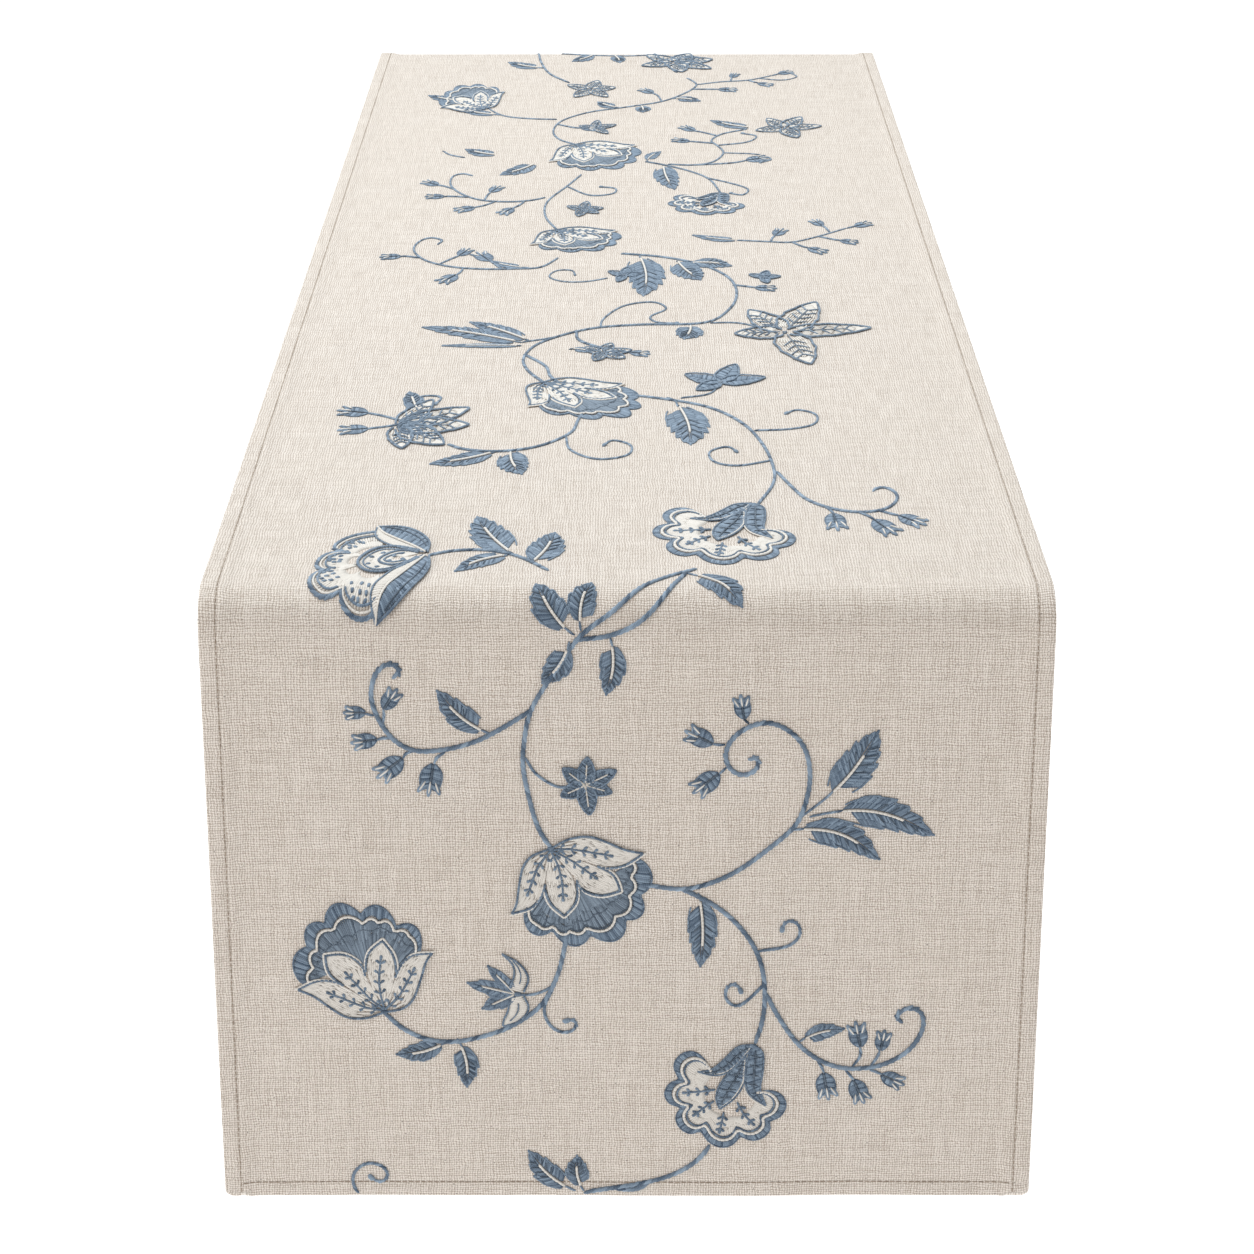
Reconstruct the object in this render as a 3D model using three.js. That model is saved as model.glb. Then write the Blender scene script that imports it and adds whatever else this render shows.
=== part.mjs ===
// A woven linen table runner with crewel embroidery. It lies along a table top and
// hangs down over both ends. Millimetres; +X runs across the runner, +Y along it to
// the far end, +Z up. The origin is the middle of the top panel's underside, which
// rests on the table. Places on the cloth are [across, along]: across from the middle
// line, and along the outer face from the front bottom edge.

import * as THREE from 'three';

// Driving dimensions.
const runnerLength = 1829;
const runnerWidth = 406;
const tableLength = 1190;
const bendRadius = 18;
const clothThickness = 0.6;
const clearance = 0.3;
const hemWidth = 10;
const hemRamp = 6;
const hemFold = 1.2;
const stitchInset = 8;
const stitchWidth = 0.6;
const stitchHeight = 0.4;
const stemWidth = 2.6;
const threadHeight = 0.6;
const bendSteps = 8;

// The cloth that the embroidery was drawn for. On a cloth of other sizes the drawing
// is stretched with each drop above its hem, the bends and the top panel.
const drawnWidth = 406;
const drawnHem = 10;
const drawnDrop = 299.2;
const drawnBend = 28.3;
const drawnPanel = 1154;

// How finely stems are cut into straight pieces.
const stemStep = 9;
const stemStepOnBend = 4;

// Lengths along the cloth that follow from them.
const bendLength = bendRadius * Math.PI / 2;
const panelLength = tableLength - 2 * bendRadius;
const dropLength = (runnerLength - panelLength - 2 * bendLength) / 2;
const frontBendEnd = dropLength + bendLength;
const backBendStart = frontBendEnd + panelLength;
const backBendEnd = backBendStart + bendLength;
const halfWidth = runnerWidth / 2;
const foldedPlies = 2 * (clothThickness + clearance);

const linen = { color: 0xd8cec0, roughness: 0.92, metalness: 0 };
const hemLinen = { color: 0xcfc3b3, roughness: 0.92, metalness: 0 };
const hemThread = { color: 0xa08c72, roughness: 0.8, metalness: 0 };
const blueThread = { color: 0x6f8cab, roughness: 0.7, metalness: 0 };
const deepBlueThread = { color: 0x4c6787, roughness: 0.7, metalness: 0 };
const paleThread = { color: 0xe8e1d4, roughness: 0.75, metalness: 0 };

const runner = new THREE.Group();

// The outer face of the runner seen from the side: a point and the way it faces.
function facePoint(along) {
  const top = clothThickness;
  const end = tableLength / 2;
  if (along < dropLength) {
    return { y: -end, z: top - bendRadius - dropLength + along, angle: 0 };
  }
  if (along < frontBendEnd) {
    return bendPoint(-end + bendRadius, top, (along - dropLength) / bendRadius);
  }
  if (along < backBendStart) {
    return { y: -end + bendRadius + along - frontBendEnd, z: top, angle: Math.PI / 2 };
  }
  if (along < backBendEnd) {
    const turn = (along - backBendStart) / bendRadius;
    return bendPoint(end - bendRadius, top, Math.PI / 2 + turn);
  }
  return { y: end, z: top - bendRadius - (along - backBendEnd), angle: Math.PI };
}

// A point on a bend: angle 0 faces the front, a right angle faces up.
function bendPoint(centreY, top, angle) {
  return {
    y: centreY - bendRadius * Math.cos(angle),
    z: top - bendRadius + bendRadius * Math.sin(angle),
    angle,
  };
}

// A drawn place of the embroidery, moved to this cloth's own drops, bends and panel.
function patternPlace([across, along]) {
  const drop = dropLength - hemWidth;
  const drawn = [drawnHem, drawnDrop, drawnBend, drawnPanel, drawnBend, drawnDrop];
  const actual = [hemWidth, drop, bendLength, panelLength, bendLength, drop];
  let left = along;
  let place = 0;
  drawn.forEach((length, i) => {
    const used = i === drawn.length - 1 ? left : Math.min(left, length);
    place += used * actual[i] / length;
    left -= used;
  });
  return [across * runnerWidth / drawnWidth, place];
}

// How far the cloth is lifted by the folded plies of the side hem.
function hemLift(across) {
  const fromEdge = halfWidth - Math.abs(across);
  const ramp = (hemWidth + hemRamp - fromEdge) / hemRamp;
  return foldedPlies * Math.min(1, Math.max(0, ramp));
}

// A point of the runner, a height above (or below) the cloth's outer face.
function clothPoint(across, along, height) {
  const face = facePoint(along);
  const rise = height + hemLift(across);
  return new THREE.Vector3(
    across,
    face.y - rise * Math.cos(face.angle),
    face.z + rise * Math.sin(face.angle),
  );
}

// Places along the cloth where a strip needs a section, end to end.
function stationsAlong(start, end) {
  const stations = [start];
  for (const bendStart of [dropLength, backBendStart]) {
    for (let step = 0; step <= bendSteps; step += 1) {
      stations.push(bendStart + bendLength * step / bendSteps);
    }
  }
  stations.push(end);
  return stations;
}

function meshFrom(points, triangles) {
  const geometry = new THREE.BufferGeometry();
  const positions = points.flatMap((point) => point.toArray());
  geometry.setAttribute('position', new THREE.Float32BufferAttribute(positions, 3));
  geometry.setIndex(signedVolume(points, triangles) < 0 ? turned(triangles) : triangles);
  geometry.computeVertexNormals();
  return geometry;
}

function signedVolume(points, triangles) {
  let volume = 0;
  for (let i = 0; i < triangles.length; i += 3) {
    const [a, b, c] = [points[triangles[i]], points[triangles[i + 1]], points[triangles[i + 2]]];
    volume += a.dot(b.clone().cross(c)) / 6;
  }
  return volume;
}

function turned(triangles) {
  const out = [];
  for (let i = 0; i < triangles.length; i += 3) {
    out.push(triangles[i], triangles[i + 2], triangles[i + 1]);
  }
  return out;
}

// Joins equal closed sections into one solid; outline is the section drawn flat.
function solidFromSections(sections, outline) {
  const flat = outline.map(([x, y]) => new THREE.Vector2(x, y));
  if (THREE.ShapeUtils.area(flat) < 0) {
    const reversed = sections.map((section) => [...section].reverse());
    return solidFromSections(reversed, [...outline].reverse());
  }
  const count = outline.length;
  const triangles = [];
  for (let row = 0; row + 1 < sections.length; row += 1) {
    for (let i = 0; i < count; i += 1) {
      const a = row * count + i;
      const b = row * count + (i + 1) % count;
      triangles.push(a, b, b + count, a, b + count, a + count);
    }
  }
  const last = (sections.length - 1) * count;
  for (const [a, b, c] of THREE.ShapeUtils.triangulateShape(flat, [])) {
    triangles.push(a, c, b, last + a, last + b, last + c);
  }
  return meshFrom(sections.flat(), triangles);
}

// A strip that runs the length of the cloth; the outline holds [across, height].
function stripAlong(outline, start, end) {
  const sections = stationsAlong(start, end).map((along) => (
    outline.map(([across, height]) => clothPoint(across, along, height))
  ));
  const lifted = outline.map(([across, height]) => [across, height + hemLift(across)]);
  return solidFromSections(sections, lifted);
}

// A strip that runs across the cloth; the outline holds [along, height].
function stripAcross(outline, start, end) {
  const sections = [start, end].map((across) => (
    outline.map(([along, height]) => clothPoint(across, along, height))
  ));
  return solidFromSections(sections, outline);
}

// A stem: a flat thread band along a smooth curve through places on the cloth.
function stem(drawnPlaces) {
  const places = drawnPlaces.map(patternPlace);
  const knots = places.map(([across, along]) => new THREE.Vector3(across, along, 0));
  const curve = new THREE.CatmullRomCurve3(knots, false, 'centripetal');
  const nearBend = places.some(([, along]) => isNearBend(along));
  const step = nearBend ? stemStepOnBend : stemStep;
  const steps = Math.max(2, Math.round(curve.getLength() / step));
  const half = stemWidth / 2;
  const low = clearance;
  const high = clearance + threadHeight;
  const outline = [[-half, low], [half, low], [half, high], [-half, high]];
  const sections = [];
  for (let i = 0; i <= steps; i += 1) {
    const place = curve.getPointAt(i / steps);
    const tangent = curve.getTangentAt(i / steps);
    sections.push(outline.map(([side, height]) => (
      clothPoint(place.x + side * tangent.y, place.y - side * tangent.x, height)
    )));
  }
  return solidFromSections(sections, outline);
}

function isNearBend(along) {
  const reach = 30;
  return Math.abs(along - dropLength - bendLength / 2) < reach
    || Math.abs(along - backBendStart - bendLength / 2) < reach;
}

// A flower or leaf: a thin plate of stitching inside a star-shaped outline.
function plate(drawnCentre, drawnOutline) {
  const centre = patternPlace(drawnCentre);
  const outline = drawnOutline.map(patternPlace);
  const count = outline.length;
  const onBend = [centre, ...outline].some(([, along]) => isNearBend(along));
  const rings = onBend ? 8 : 1;
  const points = [];
  for (const height of [clearance, clearance + threadHeight]) {
    points.push(clothPoint(centre[0], centre[1], height));
    for (let ring = 1; ring <= rings; ring += 1) {
      for (const [across, along] of outline) {
        const share = ring / rings;
        points.push(clothPoint(
          centre[0] + (across - centre[0]) * share,
          centre[1] + (along - centre[1]) * share,
          height,
        ));
      }
    }
  }
  const layer = 1 + rings * count;
  const triangles = [];
  for (let i = 0; i < count; i += 1) {
    const next = (i + 1) % count;
    triangles.push(0, 1 + next, 1 + i, layer, layer + 1 + i, layer + 1 + next);
    for (let ring = 0; ring + 1 < rings; ring += 1) {
      const a = 1 + ring * count + i;
      const b = 1 + ring * count + next;
      triangles.push(a, b, b + count, a, b + count, a + count);
      const [c, d] = [a + layer, b + layer];
      triangles.push(c, d + count, d, c, c + count, d + count);
    }
    const a = 1 + (rings - 1) * count + i;
    const b = 1 + (rings - 1) * count + next;
    triangles.push(a, b, b + layer, a, b + layer, a + layer);
  }
  return meshFrom(points, triangles);
}

// An oval with scalloped petals round it.
function petalOutline([across, along], halfAcross, halfAlong, petals) {
  const perPetal = 6;
  const notch = 0.12;
  const outline = [];
  for (let i = 0; i < petals * perPetal; i += 1) {
    const angle = i / (petals * perPetal) * 2 * Math.PI;
    const reach = 1 - notch * Math.cos(angle * petals / 2) ** 2;
    outline.push([
      across + halfAcross * reach * Math.cos(angle),
      along + halfAlong * reach * Math.sin(angle),
    ]);
  }
  return outline;
}

// A pointed leaf from its foot to its tip.
function leafOutline(foot, tip, width) {
  const stepsPerSide = 6;
  const [dx, dy] = [tip[0] - foot[0], tip[1] - foot[1]];
  const length = Math.hypot(dx, dy);
  const outline = [];
  for (let i = 0; i < 2 * stepsPerSide; i += 1) {
    const share = i <= stepsPerSide ? i / stepsPerSide : 2 - i / stepsPerSide;
    const side = (i <= stepsPerSide ? 0.5 : -0.5) * width * Math.sin(Math.PI * share);
    outline.push([
      foot[0] + dx * share - side * dy / length,
      foot[1] + dy * share + side * dx / length,
    ]);
  }
  return outline;
}

function add(name, geometry, finish) {
  const mesh = new THREE.Mesh(geometry, new THREE.MeshStandardMaterial(finish));
  mesh.name = name;
  runner.add(mesh);
}

// The linen cloth, one ply, raised at both sides where the hem is folded under it.
function addGroundCloth() {
  const places = [
    -halfWidth,
    -halfWidth + hemWidth,
    -halfWidth + hemWidth + hemRamp,
    halfWidth - hemWidth - hemRamp,
    halfWidth - hemWidth,
    halfWidth,
  ];
  const outer = places.map((across) => [across, 0]);
  const inner = places.map((across) => [across, -clothThickness]).reverse();
  add('ground_cloth', stripAlong([...outer, ...inner], 0, runnerLength), linen);
}

// Two plies under the edge, joined by a fold: the outline of a folded hem turning,
// from the edge inwards.
function turningOutline(edge, inward, width) {
  const first = -clothThickness - clearance;
  const second = first - clothThickness - clearance;
  const foldStart = edge + inward * (width - hemFold);
  const foldEnd = edge + inward * width;
  return [
    [edge, second - clothThickness],
    [foldEnd, second - clothThickness],
    [foldEnd, first],
    [edge, first],
    [edge, first - clothThickness],
    [foldStart, first - clothThickness],
    [foldStart, second],
    [edge, second],
  ];
}

function addHemTurnings() {
  for (const [name, side] of [['left', -1], ['right', 1]]) {
    const outline = turningOutline(side * halfWidth, -side, hemWidth);
    add(`${name}_hem_turning`, stripAlong(outline, 0, runnerLength), hemLinen);
  }
  const reach = halfWidth - hemWidth - hemRamp - clearance;
  for (const [name, edge, inward] of [['front', 0, 1], ['back', runnerLength, -1]]) {
    const outline = turningOutline(edge, inward, hemWidth);
    add(`${name}_hem_turning`, stripAcross(outline, -reach, reach), hemLinen);
  }
}

// The sewing line that holds each hem, seen on the outer face.
function addHemStitching() {
  const band = (centre) => [
    [centre - stitchWidth / 2, clearance],
    [centre + stitchWidth / 2, clearance],
    [centre + stitchWidth / 2, clearance + stitchHeight],
    [centre - stitchWidth / 2, clearance + stitchHeight],
  ];
  for (const [name, side] of [['left', -1], ['right', 1]]) {
    const outline = band(side * (halfWidth - stitchInset));
    add(`${name}_hem_stitching`, stripAlong(outline, 0, runnerLength), hemThread);
  }
  const reach = halfWidth - hemWidth - hemRamp - clearance;
  for (const [name, centre] of [['front', stitchInset], ['back', runnerLength - stitchInset]]) {
    add(`${name}_hem_stitching`, stripAcross(band(centre), -reach, reach), hemThread);
  }
}

// Flowers: name, middle, half size across, half size along, petals, thread.
const flowers = [
  ['front_main_flower', [-22, 172], 34, 28, 7, deepBlueThread],
  ['front_left_flower', [-129, 134], 31, 28, 7, deepBlueThread],
  ['front_bell_flower', [49, 58], 30, 28, 7, paleThread],
  ['front_star_flower', [-22, 229], 13, 13, 5, blueThread],
  ['front_lily', [-60, 127], 10, 11, 5, blueThread],
  ['top_peony', [-126, 356], 30, 31, 7, paleThread],
  ['top_bell_flower', [48, 399], 35, 38, 7, paleThread],
  ['top_left_flower', [-110, 562], 23, 37, 6, paleThread],
  ['top_near_flower', [-20, 611], 33, 36, 7, deepBlueThread],
  ['top_star_flower', [107, 730], 37, 44, 5, paleThread],
  ['top_middle_flower', [-34, 926], 29, 24, 7, deepBlueThread],
  ['top_small_bell_flower', [55, 1018], 26, 26, 6, blueThread],
  ['top_far_flower', [-21, 1143], 33, 38, 7, deepBlueThread],
  ['top_right_flower', [120, 1240], 26, 32, 5, paleThread],
  ['top_far_left_flower', [-112, 1350], 19, 38, 6, blueThread],
  ['top_far_small_flower', [-29, 1366], 16, 28, 5, blueThread],
  ['back_main_flower', [-6, 1610], 34, 28, 7, deepBlueThread],
  ['back_bell_flower', [-70, 1730], 30, 28, 7, paleThread],
  ['back_right_flower', [110, 1690], 28, 28, 6, deepBlueThread],
];

// Leaves: name, foot, tip, width.
const leaves = [
  ['front_upper_leaf', [88, 243], [131, 248], 14],
  ['front_middle_leaf', [90, 231], [138, 214], 14],
  ['front_lower_leaf', [90, 220], [112, 190], 13],
  ['front_vine_leaf', [36, 171], [33, 142], 12],
  ['top_peony_leaf', [-57, 380], [-76, 424], 15],
  ['top_bell_leaf', [29, 582], [33, 538], 22],
  ['top_left_leaf', [-78, 515], [-99, 486], 14],
  ['top_vine_leaf', [-64, 720], [-120, 737], 14],
  ['top_middle_leaf', [8, 872], [4, 808], 24],
  ['top_right_leaf', [36, 1098], [33, 1068], 16],
  ['back_left_leaf', [-60, 1600], [-100, 1585], 16],
];

// Stems: name, and the places that each one passes through.
const stems = [
  ['front_main_stem', [
    [43, 359], [27, 343], [6, 329], [-18, 305], [-35, 298], [-50, 262], [-47, 228], [-38, 203],
  ]],
  ['front_left_stem', [[-28, 142], [-36, 115], [-53, 96], [-84, 90], [-112, 104]]],
  ['front_right_stem', [[14, 178], [54, 177], [82, 200], [84, 236], [69, 259], [57, 243]]],
  ['front_falling_stem', [[47, 168], [60, 146], [67, 115], [60, 86]]],
  ['front_low_branch', [[71, 110], [96, 78], [128, 74], [147, 96], [138, 106]]],
  ['front_bud_branch', [[-54, 264], [-79, 250], [-110, 256], [-122, 274], [-112, 289]]],
  ['front_bottom_stem', [[40, 28], [25, 17], [5, 13]]],
  ['top_bell_stem', [[68, 440], [77, 494], [65, 563], [46, 596], [16, 612]]],
  ['top_right_branch', [[79.3, 490], [91, 450], [112, 431], [131, 437], [137, 458], [130, 470]]],
  ['top_left_stem', [[-26, 573], [-33, 545], [-53, 526], [-71, 522], [-87, 533]]],
  ['top_peony_stem', [[-94, 370], [-78, 379], [-63, 377], [-50, 370], [-38, 354]]],
  ['top_near_stem', [
    [-44, 642], [-59, 668], [-58, 694], [-41, 720], [6, 744], [46, 750], [65, 783],
    [67, 820], [52, 862], [30, 886], [-3, 900],
  ]],
  ['top_middle_left_branch', [
    [-48, 897], [-67, 870], [-92, 864], [-117, 872], [-136, 900], [-134, 928],
  ]],
  ['top_middle_stem', [[-44, 952], [-54, 985], [-54, 1025], [-42, 1070], [-30, 1103]]],
  ['top_far_left_branch', [[-57, 1036], [-78, 1029], [-101, 1034], [-120, 1060], [-121, 1092]]],
  ['top_small_bell_stem', [[14, 1134], [32, 1124], [50, 1102], [62, 1072], [63, 1043]]],
  ['top_far_right_branch', [[32, 1128], [55, 1132], [67, 1160], [66, 1190], [70, 1216], [91, 1236]]],
  ['top_far_stem', [
    [-38, 1182], [-52, 1204], [-54, 1236], [-40, 1276], [0, 1306], [28, 1326], [52, 1370], [48, 1405],
  ]],
  ['top_back_stem', [[40, 1425], [30, 1460], [24, 1490], [16, 1530], [-3, 1580]]],
  ['back_left_stem', [[-42, 1612], [-66, 1640], [-78, 1670], [-74, 1700]]],
  ['back_right_stem', [[30, 1614], [62, 1618], [88, 1634], [104, 1660]]],
];

addGroundCloth();
addHemTurnings();
addHemStitching();
for (const [name, centre, halfAcross, halfAlong, petals, thread] of flowers) {
  add(name, plate(centre, petalOutline(centre, halfAcross, halfAlong, petals)), thread);
}
for (const [name, foot, tip, width] of leaves) {
  const centre = [(foot[0] + tip[0]) / 2, (foot[1] + tip[1]) / 2];
  add(name, plate(centre, leafOutline(foot, tip, width)), blueThread);
}
for (const [name, places] of stems) {
  add(name, stem(places), blueThread);
}

export default runner;
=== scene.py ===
import math
import bpy
import numpy as np
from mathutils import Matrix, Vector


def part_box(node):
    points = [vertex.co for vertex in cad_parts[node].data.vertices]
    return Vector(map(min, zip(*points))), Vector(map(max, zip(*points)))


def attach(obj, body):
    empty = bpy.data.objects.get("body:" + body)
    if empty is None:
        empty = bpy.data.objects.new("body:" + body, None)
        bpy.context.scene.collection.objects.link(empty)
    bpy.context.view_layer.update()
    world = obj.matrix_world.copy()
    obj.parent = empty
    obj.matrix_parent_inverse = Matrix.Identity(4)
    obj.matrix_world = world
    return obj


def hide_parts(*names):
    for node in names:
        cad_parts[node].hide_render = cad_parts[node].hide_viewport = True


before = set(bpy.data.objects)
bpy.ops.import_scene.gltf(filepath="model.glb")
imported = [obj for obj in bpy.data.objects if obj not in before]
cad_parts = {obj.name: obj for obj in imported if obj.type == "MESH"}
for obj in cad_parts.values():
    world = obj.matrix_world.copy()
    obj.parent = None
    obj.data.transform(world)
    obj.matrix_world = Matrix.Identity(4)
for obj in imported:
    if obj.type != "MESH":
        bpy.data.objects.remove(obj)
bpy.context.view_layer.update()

dice = np.random.default_rng(41)
print("stage: frame loaded")


# camera, light and floor

view = {"place": (0.0, -1.9557, 0.562), "tilt": 70.49, "lens": 89.6, "shiftY": -0.15}


def addCamera():
    bpy.ops.object.camera_add(location=view["place"], rotation=(math.radians(view["tilt"]), 0, 0))
    camera = bpy.context.object
    camera.data.lens = view["lens"]
    camera.data.sensor_width = 36
    camera.data.shift_y = view["shiftY"]
    camera.data.clip_end = 60
    bpy.context.scene.camera = camera


studio = {"sky": 0.57, "skyTint": (1, 0.995, 0.985, 1), "floorHeight": -0.74, "floorSize": 40,
    "floorGlow": 0.5}
lights = {
    "topLight": {"place": (-0.4, 0.55, 2.5), "aim": (0, 0.1, 0), "size": 2.4, "power": 77,
        "tint": (0.93, 1.0, 1.03)},
    "frontLight": {"place": (-2.0, -1.65, 0.95), "aim": (0, -0.6, -0.15), "size": 0.9, "power": 13.5,
        "tint": (1, 1, 1)},
}


def addLight(name, lamp):
    bpy.ops.object.light_add(type="AREA", location=lamp["place"])
    light = bpy.context.object
    light.name = name
    light.data.shape = "DISK"
    light.data.size = lamp["size"]
    light.data.energy = lamp["power"]
    light.data.color = lamp["tint"]
    away = np.array(lamp["aim"], float) - np.array(lamp["place"], float)
    light.rotation_euler = (
        math.acos(-away[2] / np.linalg.norm(away)), 0, math.atan2(-away[0], away[1]),
    )


addCamera()
for name, lamp in lights.items():
    addLight(name, lamp)

world = bpy.data.worlds.new("studioSky")
bpy.context.scene.world = world
world.use_nodes = True
sky = world.node_tree.nodes["Background"].inputs
sky["Color"].default_value = studio["skyTint"]
sky["Strength"].default_value = studio["sky"]
bpy.context.scene.view_settings.view_transform = "Standard"


# shader helpers

class Wire:
    def __init__(self, finish, socket):
        self.finish = finish
        self.socket = socket

    def math(self, operation, *values):
        return self.finish.add("ShaderNodeMath", {"operation": operation}, dict(enumerate(values)))

    def __add__(self, other):
        return self.math("ADD", self, other)

    def __sub__(self, other):
        return self.math("SUBTRACT", self, other)

    def __rsub__(self, other):
        return self.math("SUBTRACT", other, self)

    def __mul__(self, other):
        return self.math("MULTIPLY", self, other)

    def __abs__(self):
        return self.math("ABSOLUTE", self)

    __radd__ = __add__
    __rmul__ = __mul__

    def sine(self):
        return self.math("SINE", self)

    def clamped(self, low, high):
        return self.finish.add("ShaderNodeClamp", {}, {"Value": self, "Min": low, "Max": high})


class Finish:
    def __init__(self, name, fixed):
        self.material = bpy.data.materials.new(name)
        self.material.use_nodes = True
        self.tree = self.material.node_tree
        self.shader = self.tree.nodes["Principled BSDF"]
        for key, value in fixed.items():
            self.shader.inputs[key].default_value = value

    def add(self, kind, settings, values, output=0):
        node = self.tree.nodes.new(kind)
        for key, value in settings.items():
            setattr(node, key, value)
        for key, value in values.items():
            if isinstance(value, Wire):
                self.tree.links.new(value.socket, node.inputs[key])
            else:
                node.inputs[key].default_value = value
        return Wire(self, node.outputs[output])

    def noise(self, vector, scale, detail=2.0, roughness=0.5):
        values = {"Vector": vector, "Scale": scale, "Detail": detail, "Roughness": roughness}
        return self.add("ShaderNodeTexNoise", {"noise_dimensions": "3D"}, values)

    def mixed(self, share, first, second):
        values = {0: share, 6: first, 7: second}
        return self.add("ShaderNodeMix", {"data_type": "RGBA"}, values, output=2)

    def feed(self, key, wire):
        self.tree.links.new(wire.socket, self.shader.inputs[key])


# finishes

linenLook = {
    "yarnPitch": 0.00132, "light": (0.83, 0.757, 0.692, 1), "shade": (0.375, 0.298, 0.240, 1),
    "fleck": (0.20, 0.155, 0.12, 1), "fleckFrom": 0.735, "fleckMost": 0.75, "cloud": (0.62, 0.53, 0.43, 1),
    "warpWander": 2.2, "weftWander": -1.9, "slubScale": 0.9, "slubStretch": 0.05, "grainScale": 0.95,
    "bump": 1.0, "bumpHeight": 0.00042,
}


def linenFinish(name, look):
    linen = Finish(name, {"Roughness": 0.86, "Sheen Weight": 0.18, "Sheen Roughness": 0.6})
    place = linen.add("ShaderNodeUVMap", {"uv_map": "weave"}, {})
    yarns = linen.add("ShaderNodeVectorMath", {"operation": "SCALE"}, {
        0: place, "Scale": 1 / look["yarnPitch"],
    })
    wander = linen.noise(yarns, 0.13, 3.0)
    warp = linen.add("ShaderNodeSeparateXYZ", {}, {0: yarns}, 0)
    weft = linen.add("ShaderNodeSeparateXYZ", {}, {0: yarns}, 1)
    x = warp + wander * look["warpWander"]
    y = weft + wander * look["weftWander"]
    acrossWave = (x * math.pi).sine()
    alongWave = (y * math.pi).sine()
    over = (acrossWave * alongWave * 2.2).clamped(-1, 1)
    warpYarn = abs(acrossWave) * (over * 0.42 + 0.58)
    weftYarn = abs(alongWave) * (over * -0.42 + 0.58)
    height = warpYarn.math("MAXIMUM", warpYarn, weftYarn)
    # each yarn is thicker and thinner along its own length
    stretched = look["slubStretch"]
    alongYarn = linen.add("ShaderNodeMapping", {}, {"Vector": yarns, "Scale": (1.0, stretched, 1.0)})
    acrossYarn = linen.add("ShaderNodeMapping", {}, {"Vector": yarns, "Scale": (stretched, 1.0, 1.0)})
    warpSlub = linen.noise(alongYarn, look["slubScale"], 1.0)
    weftSlub = linen.noise(acrossYarn, look["slubScale"], 1.0)
    grain = linen.noise(yarns, look["grainScale"], 2.0, 0.7)
    slub = warpSlub * 0.5 + weftSlub * 0.5
    # the dips between yarns are painted darker with the shade colour (painted shade) and the yarn crowns
    # lighter (painted light), mixed with the linen's real slubs and grain
    level = (height * 1.3 + slub * 1.25 + grain * 1.9 - 1.80).clamped(0, 1)
    yarn = linen.mixed(level, look["shade"], look["light"])
    cloudy = linen.noise(yarns, 0.03, 3.0)
    warmer = linen.mixed(cloudy * 0.22, yarn, look["cloud"])
    specks = linen.noise(yarns, look["grainScale"], 0.0)
    fleck = ((specks - look["fleckFrom"]) * 9.0).clamped(0, look["fleckMost"])
    linen.feed("Base Color", linen.mixed(fleck, warmer, look["fleck"]))
    linen.feed("Roughness", 0.94 - height * 0.16)
    surface = height * 0.75 + slub * 0.4 + grain * 0.25
    bump = linen.add("ShaderNodeBump", {}, {
        "Strength": look["bump"], "Distance": look["bumpHeight"], "Height": surface,
    })
    linen.feed("Normal", bump)
    return linen.material


threadTwist = 0.9  # millimetres of thread to one turn
threadLooks = {
    "blue_thread": {"dark": (0.026, 0.052, 0.092, 1), "light": (0.298, 0.382, 0.480, 1)},
    "deep_blue_thread": {"dark": (0.024, 0.042, 0.068, 1), "light": (0.232, 0.290, 0.358, 1)},
    "pale_thread": {"dark": (0.41, 0.37, 0.325, 1), "light": (0.765, 0.722, 0.668, 1)},
    "sewing_thread": {"dark": (0.20, 0.145, 0.10, 1), "light": (0.40, 0.32, 0.245, 1)},
}


def threadFinish(name, look):
    thread = Finish(name, {"Roughness": 0.78, "Sheen Weight": 0.12, "Sheen Roughness": 0.5})
    place = thread.add("ShaderNodeUVMap", {"uv_map": "strand"}, {})
    tone = thread.add("ShaderNodeAttribute", {"attribute_name": "tone"}, {}, output=2)
    alongThread = thread.add("ShaderNodeSeparateXYZ", {}, {0: place}, 0)
    roundThread = thread.add("ShaderNodeSeparateXYZ", {}, {0: place}, 1)
    twist = (alongThread * (2 * math.pi / threadTwist) + roundThread * (2 * math.pi)).sine() * 0.5 + 0.5
    body = thread.add("ShaderNodeTexCoord", {}, {}, output=3)
    fuzz = thread.noise(body, 1900.0, 2.0, 0.6)
    # the ply twist also darkens and lightens the colour along each thread: painted shade in the grooves
    # between plies, over the real tone and fibre fuzz
    level = (tone * 0.78 + twist * 0.16 + fuzz * 0.32 - 0.14).clamped(0, 1)
    thread.feed("Base Color", thread.mixed(level, look["dark"], look["light"]))
    thread.feed("Roughness", 0.88 - twist * 0.18)
    bump = thread.add("ShaderNodeBump", {}, {
        "Strength": 0.55, "Distance": 0.00016, "Height": twist * 0.7 + fuzz * 0.5,
    })
    thread.feed("Normal", bump)
    return thread.material


linen = linenFinish("linen", linenLook)
threads = {name: threadFinish(name, look) for name, look in threadLooks.items()}
threadOrder = list(threads)
print("stage: finishes made")


# the way the cloth lies, in millimetres: across, along from the near edge, height off its face

clothLow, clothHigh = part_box("ground_cloth")
cadHemLift = 1.8
lay = {
    "halfWidth": clothHigh[0] * 1000, "halfTable": clothHigh[1] * 1000 - cadHemLift,
    "top": clothHigh[2] * 1000 - cadHemLift, "radius": 18.0, "low": clothLow[2] * 1000,
    "cornerRadius": 4.0, "waveHeight": 0.7, "hem": 10.0, "hemRamp": 6.0, "stitchInset": 8.3,
    "plyStep": 0.6, "thickness": 0.5, "dent": 0.28,
}
dropLength = lay["top"] - lay["radius"] - lay["low"]
bendLength = lay["radius"] * math.pi / 2
panelLength = 2 * (lay["halfTable"] - lay["radius"])
clothLength = 2 * (dropLength + bendLength) + panelLength


def eased(value, low, high):
    share = np.clip((value - low) / (high - low), 0, 1)
    return share * share * (3 - 2 * share)


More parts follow.
